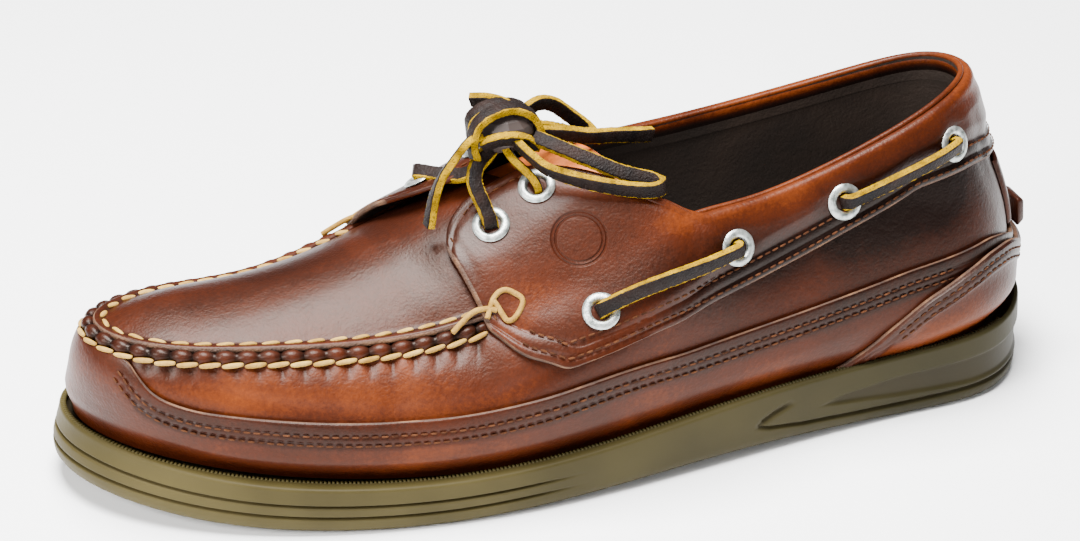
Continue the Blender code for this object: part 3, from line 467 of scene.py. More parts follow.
def build_sole():
    place = np.arange(SOLE_COLUMNS + 1) / SOLE_COLUMNS * SECTION_COUNT
    line = foot(place)
    out = outward(foot, place, TURN_SIGN)
    top = sole_height(place)
    low = np.maximum(bottom_lift_raw(place), 0.0)
    lip = lip_width(place)
    heel, lean, shelf = lip_shape(place)
    gap = RIM_GAP_TOE + (RIM_GAP_HEEL - RIM_GAP_TOE) * heel
    rim = lip - lean
    foot_in = (shelf - 0.0004) * (1.0 - heel) + 0.0006 * heel
    rows = [(-0.0045 + 0 * lip, top - 0.0075),
            (-0.0026 + 0 * lip, top - gap), (-0.0006 + 0 * lip, top - gap),
            (foot_in, top - gap * 0.85), (shelf, top - 0.0004), (shelf + 0.0003, top - 0.0001),
            (rim - LIP_ROUND * 1.2, top), (rim - LIP_ROUND, top - 0.00005)]
    # Painted shade of each row: full in the gap behind the lip, less on the shelf.
    recess_shade = [1.0, 1.0, 1.0, 1.0, 0.55, 0.1, 0.0, 0.0]
    for turn in (30, 60):
        angle = math.radians(turn)
        rows.append((rim - LIP_ROUND * (1 - math.sin(angle)), top - LIP_ROUND * (1 - math.cos(angle))))
        recess_shade.append(0.0)
    side = top - low
    upper_end, lower_end = 1.0 - LIP_ROUND / side, BOTTOM_ROUND / side
    for step in np.linspace(0.0, 1.0, SIDE_ROWS):
        share = upper_end + (lower_end - upper_end) * step
        cut = side_relief(place, share)
        bulge = 0.0003 * np.sin(np.pi * step)
        rows.append((lip - lean * smooth_ramp(share, 0.25, 1.0) - cut + bulge, low + side * share))
        # painted shade in the side grooves, as deep as the cut
        recess_shade.append(np.clip(cut / SIDE_GROOVE_DEPTH, 0.0, 1.0) * 0.55)
    for turn in (20, 40, 60, 80, 90):
        angle = math.radians(turn)
        rows.append((lip - BOTTOM_ROUND * (1 - math.cos(angle)), low + BOTTOM_ROUND * (1 - math.sin(angle))))
        recess_shade.append(0.0)
    tread = lip - TREAD_RIM
    for reach, depth in ((0.5, 0.0), (0.98, 0.0), (1.0, 0.08)):
        rows.append((lip - BOTTOM_ROUND + (tread - lip + BOTTOM_ROUND) * reach,
                     low + TREAD_GROOVE_DEPTH * depth))
        recess_shade.append(0.0)
    for reach, depth in ((0.12, 0.92), (0.2, 1.0), (0.8, 1.0), (0.88, 0.92), (1.0, 0.08), (1.1, 0.0)):
        rows.append((tread - TREAD_GROOVE_WIDTH * reach, low + TREAD_GROOVE_DEPTH * depth))
        # painted shade in the tread groove
        recess_shade.append(0.8 if depth > 0.5 else 0.2)
    field_row = len(rows) - 1
    points = np.stack([np.concatenate([line + out * np.asarray(offset)[:, None], height[:, None]], 1)
                       for offset, height in rows], 1)
    inside = np.stack(to_middle(points[:, 0], (1.0, 0.5)), 1)
    under = np.stack(to_middle(points[:, -1], (0.08, 0.25, 0.5, 0.75, 1.0)), 1)
    points = np.concatenate([inside, points, under], 1)
    recess_shade = [1.0, 1.0] + recess_shade + [0.0] * 5
    shade = np.stack([np.broadcast_to(value, len(place)) for value in recess_shade], 1)
    zone = np.zeros(points.shape[1])
    zone[field_row + 2:] = 1.0
    sole = swept_piece("sole_dressed", points, [rubber], traits={"recess_shade": shade, "tread": zone[None, :]})
    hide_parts("sole")


def row_of_copies(name, template, matrices, material):
    """One joined mesh of many copies of a small shape, which is freed."""
    corners = np.array([vertex.co[:] for vertex in template.verts])
    template.verts.index_update()
    sides = [[vertex.index for vertex in face.verts] for face in template.faces]
    turned = np.array([[list(line) for line in matrix] for matrix in matrices])
    points = np.einsum("nij,kj->nki", turned[:, :3, :3], corners) + turned[:, None, :3, 3]
    template.free()
    faces = [[index + copy * len(corners) for index in face]
             for copy in range(len(matrices)) for face in sides]
    mesh = bpy.data.meshes.new(name)
    mesh.from_pydata(points.reshape(-1, 3).tolist(), [], faces)
    marks = mesh.attributes.new("copy", "FLOAT", "POINT")
    marks.data.foreach_set("value", np.repeat(np.mod(np.arange(len(matrices)) * 0.618, 1.0), len(corners)))
    mesh.materials.append(material)
    mesh.shade_smooth()
    piece = on_shoe(bpy.data.objects.new(name, mesh))
    return piece


def even_places(curve, start, end, spacing):
    """Places from start to end that lie evenly along a curve."""
    dense = np.linspace(start, end, 1600)
    far = run_lengths(curve(dense))
    count = max(int(round(far[-1] / spacing)), 2)
    return np.interp(np.linspace(0.0, far[-1], count + 1), far, dense)


RIB_PITCH = 0.00115
RIB_SIZE = (0.00070, 0.0013, 0.0012)


def build_sole_ribs():
    """Fine ribs moulded along the lip's inner edge, one small smooth-shaded block each."""
    place = even_places(foot, 0.0, SECTION_COUNT, RIB_PITCH)
    place = place[side_place(place) > 1.0]
    out = outward(foot, place, TURN_SIGN)
    _, _, shelf = lip_shape(place)
    middle = foot(place) + out * (shelf - 0.0001)[:, None]
    top = sole_height(place)
    rib = bmesh.new()
    bmesh.ops.create_cube(rib, size=1.0)
    bmesh.ops.scale(rib, vec=RIB_SIZE, verts=rib.verts)
    matrices = []
    for spot, away, height in zip(middle, out, top):
        axes = Matrix(((away[1], away[0], 0.0), (-away[0], away[1], 0.0), (0.0, 0.0, 1.0))).to_4x4()
        matrices.append(Matrix.Translation((spot[0], spot[1], height - RIB_SIZE[2] * 0.42)) @ axes)
    ribs = row_of_copies("sole_ribs", rib, matrices, rubber)
    # The ribs carry the painted shade attribute, at zero.
    ribs.data.attributes.new("recess_shade", "FLOAT", "POINT")


build_sole()
build_sole_ribs()

# Upper
# Oiled red-brown leather, cut as one wrap that comes up round the foot from below. Round the toes
# its top edge is gathered into small beads and sewn to the plug; behind, the quarter band covers it.
UPPER_PULL = 0.38
LOWER_PULL = 0.42
DOME_POLE = 6.6
PLUG_REAR = 4.5
FLAP_LIFT_OUTER = 0.0022
FLAP_LIFT_INNER = 0.0050
SHELL_INSET = 0.0011
WALL_THICKNESS = 0.0020
SEAM_PLACE = 5.0
BEAD_PITCH = 0.0062
BEAD_RADIUS = 0.0021
FOOT_REACH = -0.055
TUCK_PLACES = (0.0, 1.4, 2.4, 4.6, 6.4, 8.0)
TUCK_DEPTHS = (0.0030, 0.0028, 0.0014, 0.0014, 0.0022, 0.0024)

UPWARD = np.array([0.0, 0.0, 1.0])
wall_lean = ring_spline(np.radians(COLUMNS[5]))
top_raw = ring_spline(np.stack([COLUMNS[6] * FOOT_LENGTH, COLUMNS[7] * BALL_HALF_WIDTH,
                                COLUMNS[3] * HEEL_SOLE_HEIGHT + COLUMNS[8] * UPPER_RISE], 1))
wall_turn = ring_spline(np.radians(COLUMNS[9]))
dome_height = ring_spline(COLUMNS[10] * PLUG_DOME)


def top_edge(place):
    return top_raw(place) + np.array([-CENTRE[0], -CENTRE[1], FIT_GAP])


def horizontal(directions):
    return np.concatenate([directions, np.zeros(directions.shape[:-1] + (1,))], -1)


def wall(place, share):
    """Point on the wall of the last, from the foot line at share 0 to the top edge at share 1."""
    place, share = np.broadcast_arrays(np.asarray(place, float), np.asarray(share, float))
    low = np.concatenate([foot(place), (sole_height(place) + FIT_GAP)[..., None]], -1)
    high = top_edge(place)
    length = np.linalg.norm(high - low, axis=-1)[..., None]
    lean = wall_lean(place)[..., None]
    turn = wall_turn(place)[..., None]
    out_low = horizontal(outward(foot, place, TURN_SIGN))
    out_high = horizontal(outward(top_edge, place, TURN_SIGN))
    pull_low = low + LOWER_PULL * length * (np.cos(lean) * UPWARD + np.sin(lean) * out_low)
    pull_high = high - UPPER_PULL * length * (np.cos(turn) * UPWARD - np.sin(turn) * out_high)
    share = share[..., None]
    rest = 1.0 - share
    return (low * rest**3 + 3.0 * pull_low * share * rest**2
            + 3.0 * pull_high * share**2 * rest + high * share**3)


def dome(place, share, lift=0.0):
    """Point between the top edge at share 0 and the middle line over toes and instep at share 1."""
    place, share = np.broadcast_arrays(np.mod(np.asarray(place, float), SECTION_COUNT),
                                       np.asarray(share, float))
    low = top_edge(place)
    side = np.minimum(side_place(place), DOME_POLE)
    high = (top_edge(side) + top_edge(SECTION_COUNT - side)) / 2.0
    high[..., 2] += dome_height(side) + lift
    point = low + (high - low) * share[..., None]
    point[..., 2] = low[..., 2] + (high[..., 2] - low[..., 2]) * (1.0 - (1.0 - share) ** 2)
    return point


def skin(place, share, lift=0.0):
    place, share = np.broadcast_arrays(np.asarray(place, float), np.asarray(share, float))
    on_wall = wall(place, np.minimum(share, 1.0))
    on_dome = dome(place, np.clip(share - 1.0, 0.0, 1.0), lift)
    return np.where((share <= 1.0)[..., None], on_wall, on_dome)


def eased_skin(place, share, lift=0.0):
    """The skin with its bend at the top edge eased, for leather that runs over it in one piece."""
    place, share = np.broadcast_arrays(np.asarray(place, float), np.asarray(share, float))
    reach = 0.10 * np.clip(share / 0.3, 0.0, 1.0) * np.clip((2.0 - share) / 0.3, 0.0, 1.0)
    weights = (0.12, 0.23, 0.30, 0.23, 0.12)
    return sum(weight * skin(place, share + reach * step, lift)
               for weight, step in zip(weights, (-1.0, -0.5, 0.0, 0.5, 1.0)))


def surface_frame(place, share, lift=0.0, surface=skin):
    """Point, outward normal, unit direction up the sheet, and metres per unit of share."""
    place, share = np.broadcast_arrays(np.asarray(place, float), np.asarray(share, float))
    step = 0.012
    probe = np.clip(share, step, 1.975)
    ahead = surface(place + step, probe, lift) - surface(place - step, probe, lift)
    above = surface(place, probe + step, lift) - surface(place, probe - step, lift)
    normal = np.cross(ahead, above)
    normal *= FACING / np.maximum(np.linalg.norm(normal, axis=-1, keepdims=True), 1e-12)
    speed = np.linalg.norm(above, axis=-1)
    up = above / np.maximum(speed[..., None], 1e-12)
    return surface(place, share, lift), normal, up, speed / (2.0 * step)


def bottom_tuck(place, height):
    """How far the upper's foot turns in behind the sole's lip, at a height up the wall."""
    depth = np.interp(side_place(place), TUCK_PLACES, TUCK_DEPTHS)
    return depth * (1.0 - smooth_ramp(height, -0.0010, 0.0070))


FACING = 1.0
_, probe_normal, _, _ = surface_frame(np.array(4.0), np.array(0.4))
FACING = 1.0 if probe_normal[1] < 0 else -1.0

# Where the leather is pulled lighter and more orange, or has stayed dark, on both sides alike, with painted
# shade on the heel quarter and a painted sheen low on the counter:
# place, share, reach along, reach up, amount
TONES = (
    (6.4, 0.66, 1.0, 0.16, 0.55), (7.6, 0.45, 0.8, 0.30, 0.10), (5.0, 0.40, 0.8, 0.15, 0.12),
    # the entry at place 1.3, share 0.60 is painted shade on the heel quarter
    (5.6, 0.15, 1.3, 0.12, 0.10), (1.3, 0.60, 1.2, 0.20, -0.85), (2.6, 0.60, 0.8, 0.14, -0.45),
    (2.4, 1.00, 1.7, 0.07, 0.55), (0.0, 0.98, 0.9, 0.10, 0.30), (3.8, 1.04, 0.30, 0.12, 0.22),
    (4.3, 0.95, 0.5, 0.30, -0.25), (4.8, 1.45, 0.35, 0.35, -0.20), (4.75, 1.05, 0.2, 0.2, 0.28),
    # the entries at place 2.6 are painted shade on the heel quarter; the one at place 1.2, share 0.05 is a
    # painted sheen
    (3.0, 0.30, 1.3, 0.16, -0.18), (2.6, 0.76, 1.3, 0.12, -0.55), (1.2, 0.05, 1.3, 0.09, 0.40),
    (1.0, 0.22, 1.0, 0.10, 0.08), (5.6, 1.70, 1.4, 0.45, -0.38), (7.6, 1.45, 0.8, 0.35, -0.20),
    (5.5, 0.90, 0.8, 0.08, 0.22),
)


def leather_tone(place, share):
    side = side_place(place)
    total = np.zeros(np.broadcast(side, share).shape)
    for middle, height, reach, rise, amount in TONES:
        total = total + amount * bump(side, middle, reach) * bump(share, height, rise)
    return total


# Main creases: place, share, half length along and half width across in metres, depth,
# and how far the trough is turned from the line of the foot in degrees
CREASES = (
    (5.05, 0.80, 0.0150, 0.0030, 0.00045, 62), (5.45, 0.74, 0.0130, 0.0028, 0.00035, 70),
    (4.35, 0.62, 0.0160, 0.0040, 0.00040, 30), (3.75, 0.93, 0.0120, 0.0045, 0.00055, 75),
    (1.60, 0.60, 0.0180, 0.0050, 0.00045, 15), (0.75, 0.66, 0.0140, 0.0040, 0.00040, 80),
    (11.0, 0.78, 0.0150, 0.0030, 0.00045, 60), (12.3, 0.70, 0.0140, 0.0040, 0.00040, 65),
    (14.6, 0.60, 0.0160, 0.0050, 0.00045, 20), (5.15, 1.62, 0.0120, 0.0035, 0.00030, 85),
    (10.9, 1.60, 0.0120, 0.0035, 0.00030, 85), (6.0, 0.30, 0.0200, 0.0045, 0.00030, 10),
)
SECTION_STEP = 0.041


def crease_relief(place, share, speed):
    total = np.zeros(np.broadcast(place, share).shape)
    for middle, height, half_length, half_width, depth, turn in CREASES:
        along = (np.mod(place - middle + 8.0, 16.0) - 8.0) * SECTION_STEP
        rise = (share - height) * speed
        cosine, sine = math.cos(math.radians(turn)), math.sin(math.radians(turn))
        far = along * cosine + rise * sine
        aside = rise * cosine - along * sine
        trough = bump(aside, 0.0, half_width) - 0.45 * bump(aside, 1.9 * half_width, half_width)
        total = total - depth * trough * bump(far, 0.0, half_length)
    return total


def grain_group():
    """Oiled leather: pores, fine wrinkles and broad uneven colour."""
    group, given, gives = new_group("leather_grain", {
        "Vector": ("vector", None), "Pore": ("number", 0.0007), "Wrinkle": ("number", 0.006)},
        {"Height": "number", "Mottle": "number", "Fleck": "number"})
    vector = given.outputs["Vector"]
    pore = put(group, "ShaderNodeTexVoronoi", {"Vector": vector,
               "Scale": number(group, "DIVIDE", 1.0, given.outputs["Pore"])}, feature="SMOOTH_F1")
    fine = put(group, "ShaderNodeTexNoise", {"Vector": vector, "Detail": 4.0, "Roughness": 0.6,
               "Scale": number(group, "DIVIDE", 0.6, given.outputs["Pore"])})
    drawn = put(group, "ShaderNodeTexNoise", {"Vector": vector, "Detail": 5.0, "Roughness": 0.62,
                "Distortion": 0.8, "Scale": number(group, "DIVIDE", 1.0, given.outputs["Wrinkle"])})
    wrinkle = number(group, "PINGPONG", number(group, "MULTIPLY", drawn.outputs["Fac"], 5.0), 1.0)
    height = number(group, "MULTIPLY_ADD", pore.outputs["Distance"], 0.45,
                    number(group, "MULTIPLY_ADD", fine.outputs["Fac"], 0.5,
                           number(group, "MULTIPLY", wrinkle, 0.35)))
    broad = put(group, "ShaderNodeTexNoise", {"Vector": vector, "Scale": 28.0, "Detail": 4.0,
                "Roughness": 0.55, "Distortion": 0.4})
    group.links.new(height, gives.inputs["Height"])
    group.links.new(broad.outputs["Fac"], gives.inputs["Mottle"])
    group.links.new(fine.outputs["Fac"], gives.inputs["Fleck"])
    return group


leather_grain = grain_group()


PRESSED_RINGS = (0.0077, 0.0067)


def pull_up_leather(name, stops, roughness, shine, press=None):
    """Oiled leather whose colour follows its tone: how far it is pulled, with painted shade and a painted
    sheen in places. press is the middle of pressed rings.
    """
    made, tree, shader = new_material(name, roughness)
    grain, spot = surface_pattern(tree, leather_grain, {})
    mixed = number(tree, "MULTIPLY_ADD", number(tree, "SUBTRACT", grain["Mottle"], 0.5), 0.70,
                   number(tree, "MULTIPLY_ADD", vertex_value(tree, "tone"), 0.42, 0.5))
    mixed = number(tree, "MULTIPLY_ADD", number(tree, "SUBTRACT", grain["Fleck"], 0.5), 0.30, mixed)
    height = grain["Height"]
    if press is not None:
        away = put(tree, "ShaderNodeVectorMath", {0: spot, 1: press}, operation="DISTANCE")
        for radius in PRESSED_RINGS:
            nearness = number(tree, "ABSOLUTE", number(tree, "SUBTRACT", away.outputs["Value"], radius))
            ring = number(tree, "SMOOTH_MIN", number(tree, "DIVIDE", nearness, 0.00050), 1.0, 0.3)
            height = number(tree, "MULTIPLY_ADD", ring, 3.0, height)
    bumped(tree, shader, height, 0.00016, 0.9)
    rough = number(tree, "MULTIPLY_ADD", grain["Mottle"], 0.22, roughness - 0.11)
    feed(tree, shader, {"Base Color": ramp(tree, mixed, stops), "Roughness": rough,
                        "Specular IOR Level": 0.13, "Specular Tint": (1.0, 0.80, 0.68, 1.0),
                        "Coat Weight": shine, "Coat Roughness": 0.24})
    return made


LEATHER_STOPS = ((0.10, (0.0040, 0.0014, 0.0010)), (0.34, (0.0190, 0.0040, 0.0015)),
                 (0.54, (0.0400, 0.0072, 0.0018)), (0.74, (0.0980, 0.0190, 0.0028)),
                 (0.95, (0.1800, 0.0420, 0.0050)))
leather = pull_up_leather("oiled_leather", LEATHER_STOPS, 0.42, 0.06)


raw_edge, _, _, _ = speckled("raw_leather_edge", 0.75, 0.0006, 0.006, 0.0005, (
    (0.30, (0.020, 0.007, 0.003)), (0.55, (0.062, 0.024, 0.008)), (0.75, (0.140, 0.062, 0.022))))

lining, tree, shader = new_material("dark_lining", 0.62)
grain, _ = surface_pattern(tree, leather_grain, {"Pore": 0.0009})
feed(tree, shader, {"Base Color": ramp(tree, grain["Mottle"], (
    (0.30, (0.012, 0.008, 0.006)), (0.70, (0.030, 0.018, 0.012))))})
bumped(tree, shader, grain["Height"], 0.0002)


def seam_along(place):
    """How far along the seam a place lies, from the seam's outer end."""
    return np.interp(np.mod(place, SECTION_COUNT), SEAM_PLACES, SEAM_FAR)


SEAM_PLACES = np.linspace(SEAM_PLACE, SECTION_COUNT - SEAM_PLACE, 800)
SEAM_FAR = run_lengths(top_edge(SEAM_PLACES))
BEAD_COUNT = int(round(SEAM_FAR[-1] / BEAD_PITCH))
BEAD_STEP = SEAM_FAR[-1] / BEAD_COUNT


def seam_front(place):
    return smooth_ramp(side_place(place), SEAM_PLACE - 0.10, SEAM_PLACE + 0.08)


def bead_swell(place):
    """1 at the middle of a bead and 0 in the pinch between two, along the seam."""
    turn = np.abs(np.cos(np.pi * seam_along(place) / BEAD_STEP))
    return turn ** 0.7


def build_upper():
    front = even_places(top_edge, SEAM_PLACE - 0.2, SECTION_COUNT - SEAM_PLACE + 0.2, 0.0007)
    rear = even_places(top_edge, SECTION_COUNT - SEAM_PLACE + 0.2, SECTION_COUNT + SEAM_PLACE - 0.2,
                       0.0022)
    place = np.concatenate([front, rear[1:]])
    seam = seam_front(place)
    swell = bead_swell(place)
    shares = np.concatenate([(FOOT_REACH, -0.02, 0.02, 0.06), np.linspace(0.12, 0.74, 11),
                             np.linspace(0.77, 0.95, 9)])
    grid_place, grid_share = np.meshgrid(place, shares, indexing="ij")
    point, normal, _, speed = surface_frame(grid_place, grid_share)
    pleat = smooth_ramp(grid_share, 0.76, 0.95) * seam[:, None] * (1.0 - swell[:, None])
    relief = crease_relief(grid_place, grid_share, speed) * smooth_ramp(grid_share, 0.02, 0.12)
    relief = relief - 0.0007 * pleat - bottom_tuck(grid_place, grid_share * speed)
    outer = point + normal * (relief - SHELL_INSET)[..., None]
    away = horizontal(outward(top_edge, place, TURN_SIGN))
    edge = top_edge(place)
    radius = (BEAD_RADIUS * (0.48 + 0.52 * swell)) * seam + 0.0009 * (1.0 - seam)
    inset = 0.0011 * seam + 0.0021 * (1.0 - seam)
    sink = 0.0002 * seam + 0.0012 * (1.0 - seam)
    middle = edge - away * inset[:, None] - UPWARD * sink[:, None]
    roll = np.stack([middle + (away * math.cos(turn) + UPWARD * math.sin(turn)) * radius[:, None]
                     for turn in np.radians(np.linspace(-25.0, 200.0, 10))], 1)
    inner_place, inner_share = np.meshgrid(place, np.linspace(0.90, 0.0, 8), indexing="ij")
    point, normal, _, _ = surface_frame(inner_place, inner_share)
    inner = point - normal * (SHELL_INSET + WALL_THICKNESS)
    loop = np.concatenate([outer, roll, inner, outer[:, :1]], 1)
    # Painted shade: the beads' roll darkens in the pinch between two beads, and the wall in the pleats below
    # them.
    roll_tone = leather_tone(place, 1.0) - 0.15 - 0.9 * (1.0 - swell) * seam
    tone = np.concatenate([leather_tone(grid_place, grid_share) - 0.5 * pleat,
                           np.repeat(roll_tone[:, None], 10, 1),
                           np.zeros_like(inner_place), leather_tone(place, 0.0)[:, None]], 1)
    lined = [0] * (len(shares) + 9) + [1] * 9
    upper = swept_piece("upper_wrap", loop, [leather, lining], row_materials=lined, traits={"tone": tone})
    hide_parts("upper")


PLUG_EDGE = 0.0034
PLUG_LIP = 0.0017
PLUG_STITCH = 0.0021


def build_plug():
    """The plug over the toes: its raw edge stands up inside the beads, with a darker line where its stitches
    run.
    """
    half = even_places(top_edge, PLUG_REAR, TOE_TIP, 0.0011)
    place = np.concatenate([half, SECTION_COUNT - half[-2::-1]])
    _, _, _, speed = surface_frame(place, np.full(len(place), 1.05))
    near = np.array([0.0, 0.0004, 0.0008, 0.0012, 0.0016, 0.0020, 0.0025, 0.0031, 0.0040, 0.0056, 0.0082,
                     0.0120])
    start = 1.0 + (PLUG_EDGE + near[None, :]) / speed[:, None]
    rest = start[:, -1:] + (2.0 - start[:, -1:]) * np.linspace(0.0, 1.0, 16)[None, 1:]
    share = np.concatenate([start, rest], 1)
    inside = np.concatenate([near, np.full(15, 0.02)])[None, :]
    grid_place = np.repeat(place[:, None], share.shape[1], 1)
    point, normal, up, speed = surface_frame(grid_place, share)
    lip = PLUG_LIP * np.exp(-(inside / 0.0016) ** 2.6)
    relief = lip + crease_relief(grid_place, share, speed)
    outer = point + normal * (relief - SHELL_INSET)[..., None]
    outer[:, -1] = 0.5 * (outer[:, -1] + outer[::-1, -1])
    thick = 0.0020
    crest = outer[:, 0] - normal[:, 0] * thick / 2.0
    rim = [crest + (normal[:, 0] * math.cos(turn) - up[:, 0] * math.sin(turn)) * thick / 2.0
           for turn in np.radians((160.0, 125.0, 90.0, 55.0, 25.0))]
    under = outer - normal * thick
    under[:, -1] = 0.5 * (under[:, -1] + under[::-1, -1])
    loop = np.concatenate([under[:, ::-1], np.stack(rim, 1), outer], 1)
    count = share.shape[1]
    tone = leather_tone(grid_place, share) - 0.45 * bump(inside, PLUG_STITCH, 0.0006)
    tone = np.concatenate([tone[:, ::-1], np.repeat(tone[:, :1], 5, 1), tone], 1)
    slots = [2] * (count - 1) + [1] * 6 + [0] * count
    plug = swept_piece("plug", loop, [leather, raw_edge, lining], row_materials=slots, traits={"tone": tone},
                       cap=True, degrees=70.0)
    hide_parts("upper")


build_upper()
build_plug()

# Insole
# A thin leather footbed on the sole, inside the upper. Only a little of it shows, through the
# collar's opening.
INSOLE_THICKNESS = 0.0030
INSOLE_INSET = SHELL_INSET + WALL_THICKNESS + 2.0 * FIT_GAP


def build_insole():
    columns = 240
    place = np.arange(columns + 1) / columns * SECTION_COUNT
    line = foot(place)
    out = outward(foot, place, TURN_SIGN)
    under = sole_height(place) + FIT_GAP
    rows = []
    for inset, height in ((0.0, 0.0), (0.0, 0.6), (0.0003, 0.85), (0.0010, 1.0)):
        rows.append(np.concatenate([line - out * (INSOLE_INSET + inset),
                                    (under + INSOLE_THICKNESS * height)[:, None]], 1))
    rows = to_middle(rows[0], (1.0, 0.5)) + rows + to_middle(rows[-1], (0.1, 0.35, 0.7, 1.0))
    insole = swept_piece("footbed", np.stack(rows, 1), [lining])
    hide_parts("insole")


build_insole()

# Overlays
# Mudguard, quarter band, heel counter, backstay and tab: cut leather sewn over the upper, with
# rounded raw edges and pressed stitch channels. The band folds over at the collar.
OVERLAY_THICKNESS = 0.0016
# Edges of the overlays, from place to share. The guard's rises nearer to the seam at the toe
# than in the part's source.
MUDGUARD_EDGE = ((0.0, 0.225), (0.45, 0.235), (0.8, 0.32), (1.1, 0.365), (2.0, 0.38), (2.8, 0.35),
                 (3.6, 0.33), (4.5, 0.37), (5.3, 0.46), (6.0, 0.50), (6.55, 0.53), (6.8, 0.59),
                 (6.95, 0.70), (7.05, 0.87), (7.12, 0.94), (8.0, 0.94))
BAND_LOWER_EDGE = ((0.0, 0.60), (0.5, 0.62), (1.0, 0.67), (1.8, 0.71), (2.4, 0.66), (3.1, 0.58),
                   (3.7, 0.52), (4.2, 0.50), (4.5, 0.51), (4.8, 0.71), (5.0, 0.93))
BAND_UPPER_EDGE = ((0.0, 1.0), (3.6, 1.0), (3.75, 1.05), (4.0, 1.24), (4.25, 1.62), (4.4, 1.86), (4.5, 1.90),
                   (4.75, 1.90), (5.0, 1.68))
BAND_FRONT = 5.0
COUNTER_EDGE = ((0.0, 0.20), (0.45, 0.21), (0.8, 0.292), (0.95, 0.312), (1.2, 0.32), (1.5, 0.29),
                (1.9, 0.23), (2.2, 0.13), (2.4, 0.03), (2.5, -0.02))
COUNTER_FRONT = 2.5
GUARD_STITCHES = (0.0030, 0.0056)
BAND_STITCHES = (0.0020, 0.0062)
COUNTER_STITCHES = (0.0018, 0.0042)
STITCH_GROOVE = 0.00030
NEAR_FOOT = (0.0, 0.0010, 0.0022, 0.0036, 0.0052, 0.0070, 0.0090)


def edge_curve(pairs, ease=0.10):
    """Height share of a panel's edge at a place, its corners eased, the same on both sides."""
    places, shares = zip(*pairs)

    def value(place):
        side = side_place(place)
        taps = [np.interp(np.clip(np.abs(side + ease * step), 0.0, places[-1]), places, shares)
                for step in (-1.0, -0.5, 0.0, 0.5, 1.0)]
        return 0.12 * taps[0] + 0.23 * taps[1] + 0.30 * taps[2] + 0.23 * taps[3] + 0.12 * taps[4]

    return value


def flap_lift(place):
    """How far the flaps' free edges stand over the plug: the inner flap is pulled up more."""
    return np.where(np.mod(place, SECTION_COUNT) > TOE_TIP, FLAP_LIFT_INNER, FLAP_LIFT_OUTER)


def edge_slant(place, edge, lift=0.0, surface=skin):
    """Cosine of the angle between a panel's edge and the line of the foot."""
    step = 0.03
    before, _, up, _ = surface_frame(place - step, edge(place - step), lift, surface)
    after = surface(place + step, edge(place + step), lift)
    run = after - before
    climb = np.sum(run * up, -1) / np.maximum(np.linalg.norm(run, axis=-1), 1e-9)
    return np.sqrt(np.clip(1.0 - climb**2, 0.10, 1.0))


def panel_loop(place, low, high, outer, inner, from_top, from_low, between, lift=0.0, surface=skin,
               relief=None, inner_rows=6, inner_low=None, tuck=None, slant=None, sunk=False):
    """Closed section of an overlay at each place. Its outside rows lie at fixed distances from its
    two edges with more between, the edges are round, and the inside may stop at inner_low, from
    where it follows the offset tuck down to the edge. sunk turns the foot in behind the sole's lip."""
    low, high, outer, inner = (value + np.zeros(len(place)) for value in (low, high, outer, inner))
    thick = outer - inner
    slant = np.ones(len(place)) if slant is None else slant
    _, _, _, speed_high = surface_frame(place, high, lift, surface)
    _, _, _, speed_low = surface_frame(place, low, lift, surface)
    round_high = thick / 2.0 / speed_high
    round_low = thick / 2.0 / speed_low
    top, bottom = high - round_high, low + round_low
    speed_high = speed_high * slant
    taken = max(from_top) / speed_high + max(from_low) / speed_low
    room = np.clip((top - bottom) / taken * 0.9, 0.02, 1.0)
    below = [top - distance * room / speed_high for distance in from_top]
    above = [bottom + distance * room / speed_low for distance in from_low]
    middle = [above[-1] + (below[-1] - above[-1]) * step
              for step in np.linspace(0.0, 1.0, between + 2)[1:-1]]
    share = np.stack(above + middle + below[::-1], 1)
    grid_place = np.repeat(place[:, None], share.shape[1], 1)
    grid_lift = lift if np.isscalar(lift) else lift[:, None]
    point, normal, _, speed = surface_frame(grid_place, share, grid_lift, surface)
    to_top = (top[:, None] - share) * speed * slant[:, None]
    to_low = (share - bottom[:, None]) * speed
    shape = relief(grid_place, share, to_low, to_top, speed) if relief else np.zeros_like(share)
    if sunk:
        shape = shape - bottom_tuck(grid_place, share * speed)
    outside = point + normal * (outer[:, None] + shape)[..., None]
    middle_offset = (outer + inner) / 2.0

    def arc(edge_share, degrees, sign):
        spot, face, rise, speed = surface_frame(place, edge_share, lift, surface)
        if sunk:
            spot = spot - face * bottom_tuck(place, edge_share * speed)[:, None]
        return [spot + face * middle_offset[:, None]
                + (face * math.cos(turn) + sign * rise * math.sin(turn)) * thick[:, None] / 2.0
                for turn in np.radians(degrees)]

    floor_share = bottom if inner_low is None else inner_low
    inside = []
    for step in np.linspace(0.0, 1.0, inner_rows):
        at_share = top + (floor_share - top) * step
        spot, face, _, speed = surface_frame(place, at_share, lift, surface)
        sink = bottom_tuck(place, at_share * speed) if sunk else 0.0
        inside.append(spot + face * (inner - sink)[:, None])
    if tuck is not None:
        for step in np.linspace(0.0, 1.0, 4):
            at_share = floor_share + (bottom - floor_share) * step
            spot, face, _, _ = surface_frame(place, at_share, lift, surface)
            inside.append(spot + face * tuck[:, None])
    over = arc(top, (25, 50, 75, 90, 105, 130, 155), 1.0)
    under = arc(bottom, (155, 120, 90, 60, 25), -1.0)
    if tuck is not None:
        spot, face, rise, _ = surface_frame(place, bottom, lift, surface)
        center = (outer + tuck) / 2.0
        half = (outer - tuck) / 2.0
        under = [spot + face * center[:, None]
                 + (face * math.cos(turn) - rise * math.sin(turn)) * half[:, None]
                 for turn in np.radians((155, 120, 90, 60, 25))]
    loop = np.concatenate([outside, np.stack(over + inside + under, 1), outside[:, :1]], 1)
    counts = (share.shape[1], len(over), len(inside), len(under))
    return loop, counts, grid_place, share, to_low, to_top


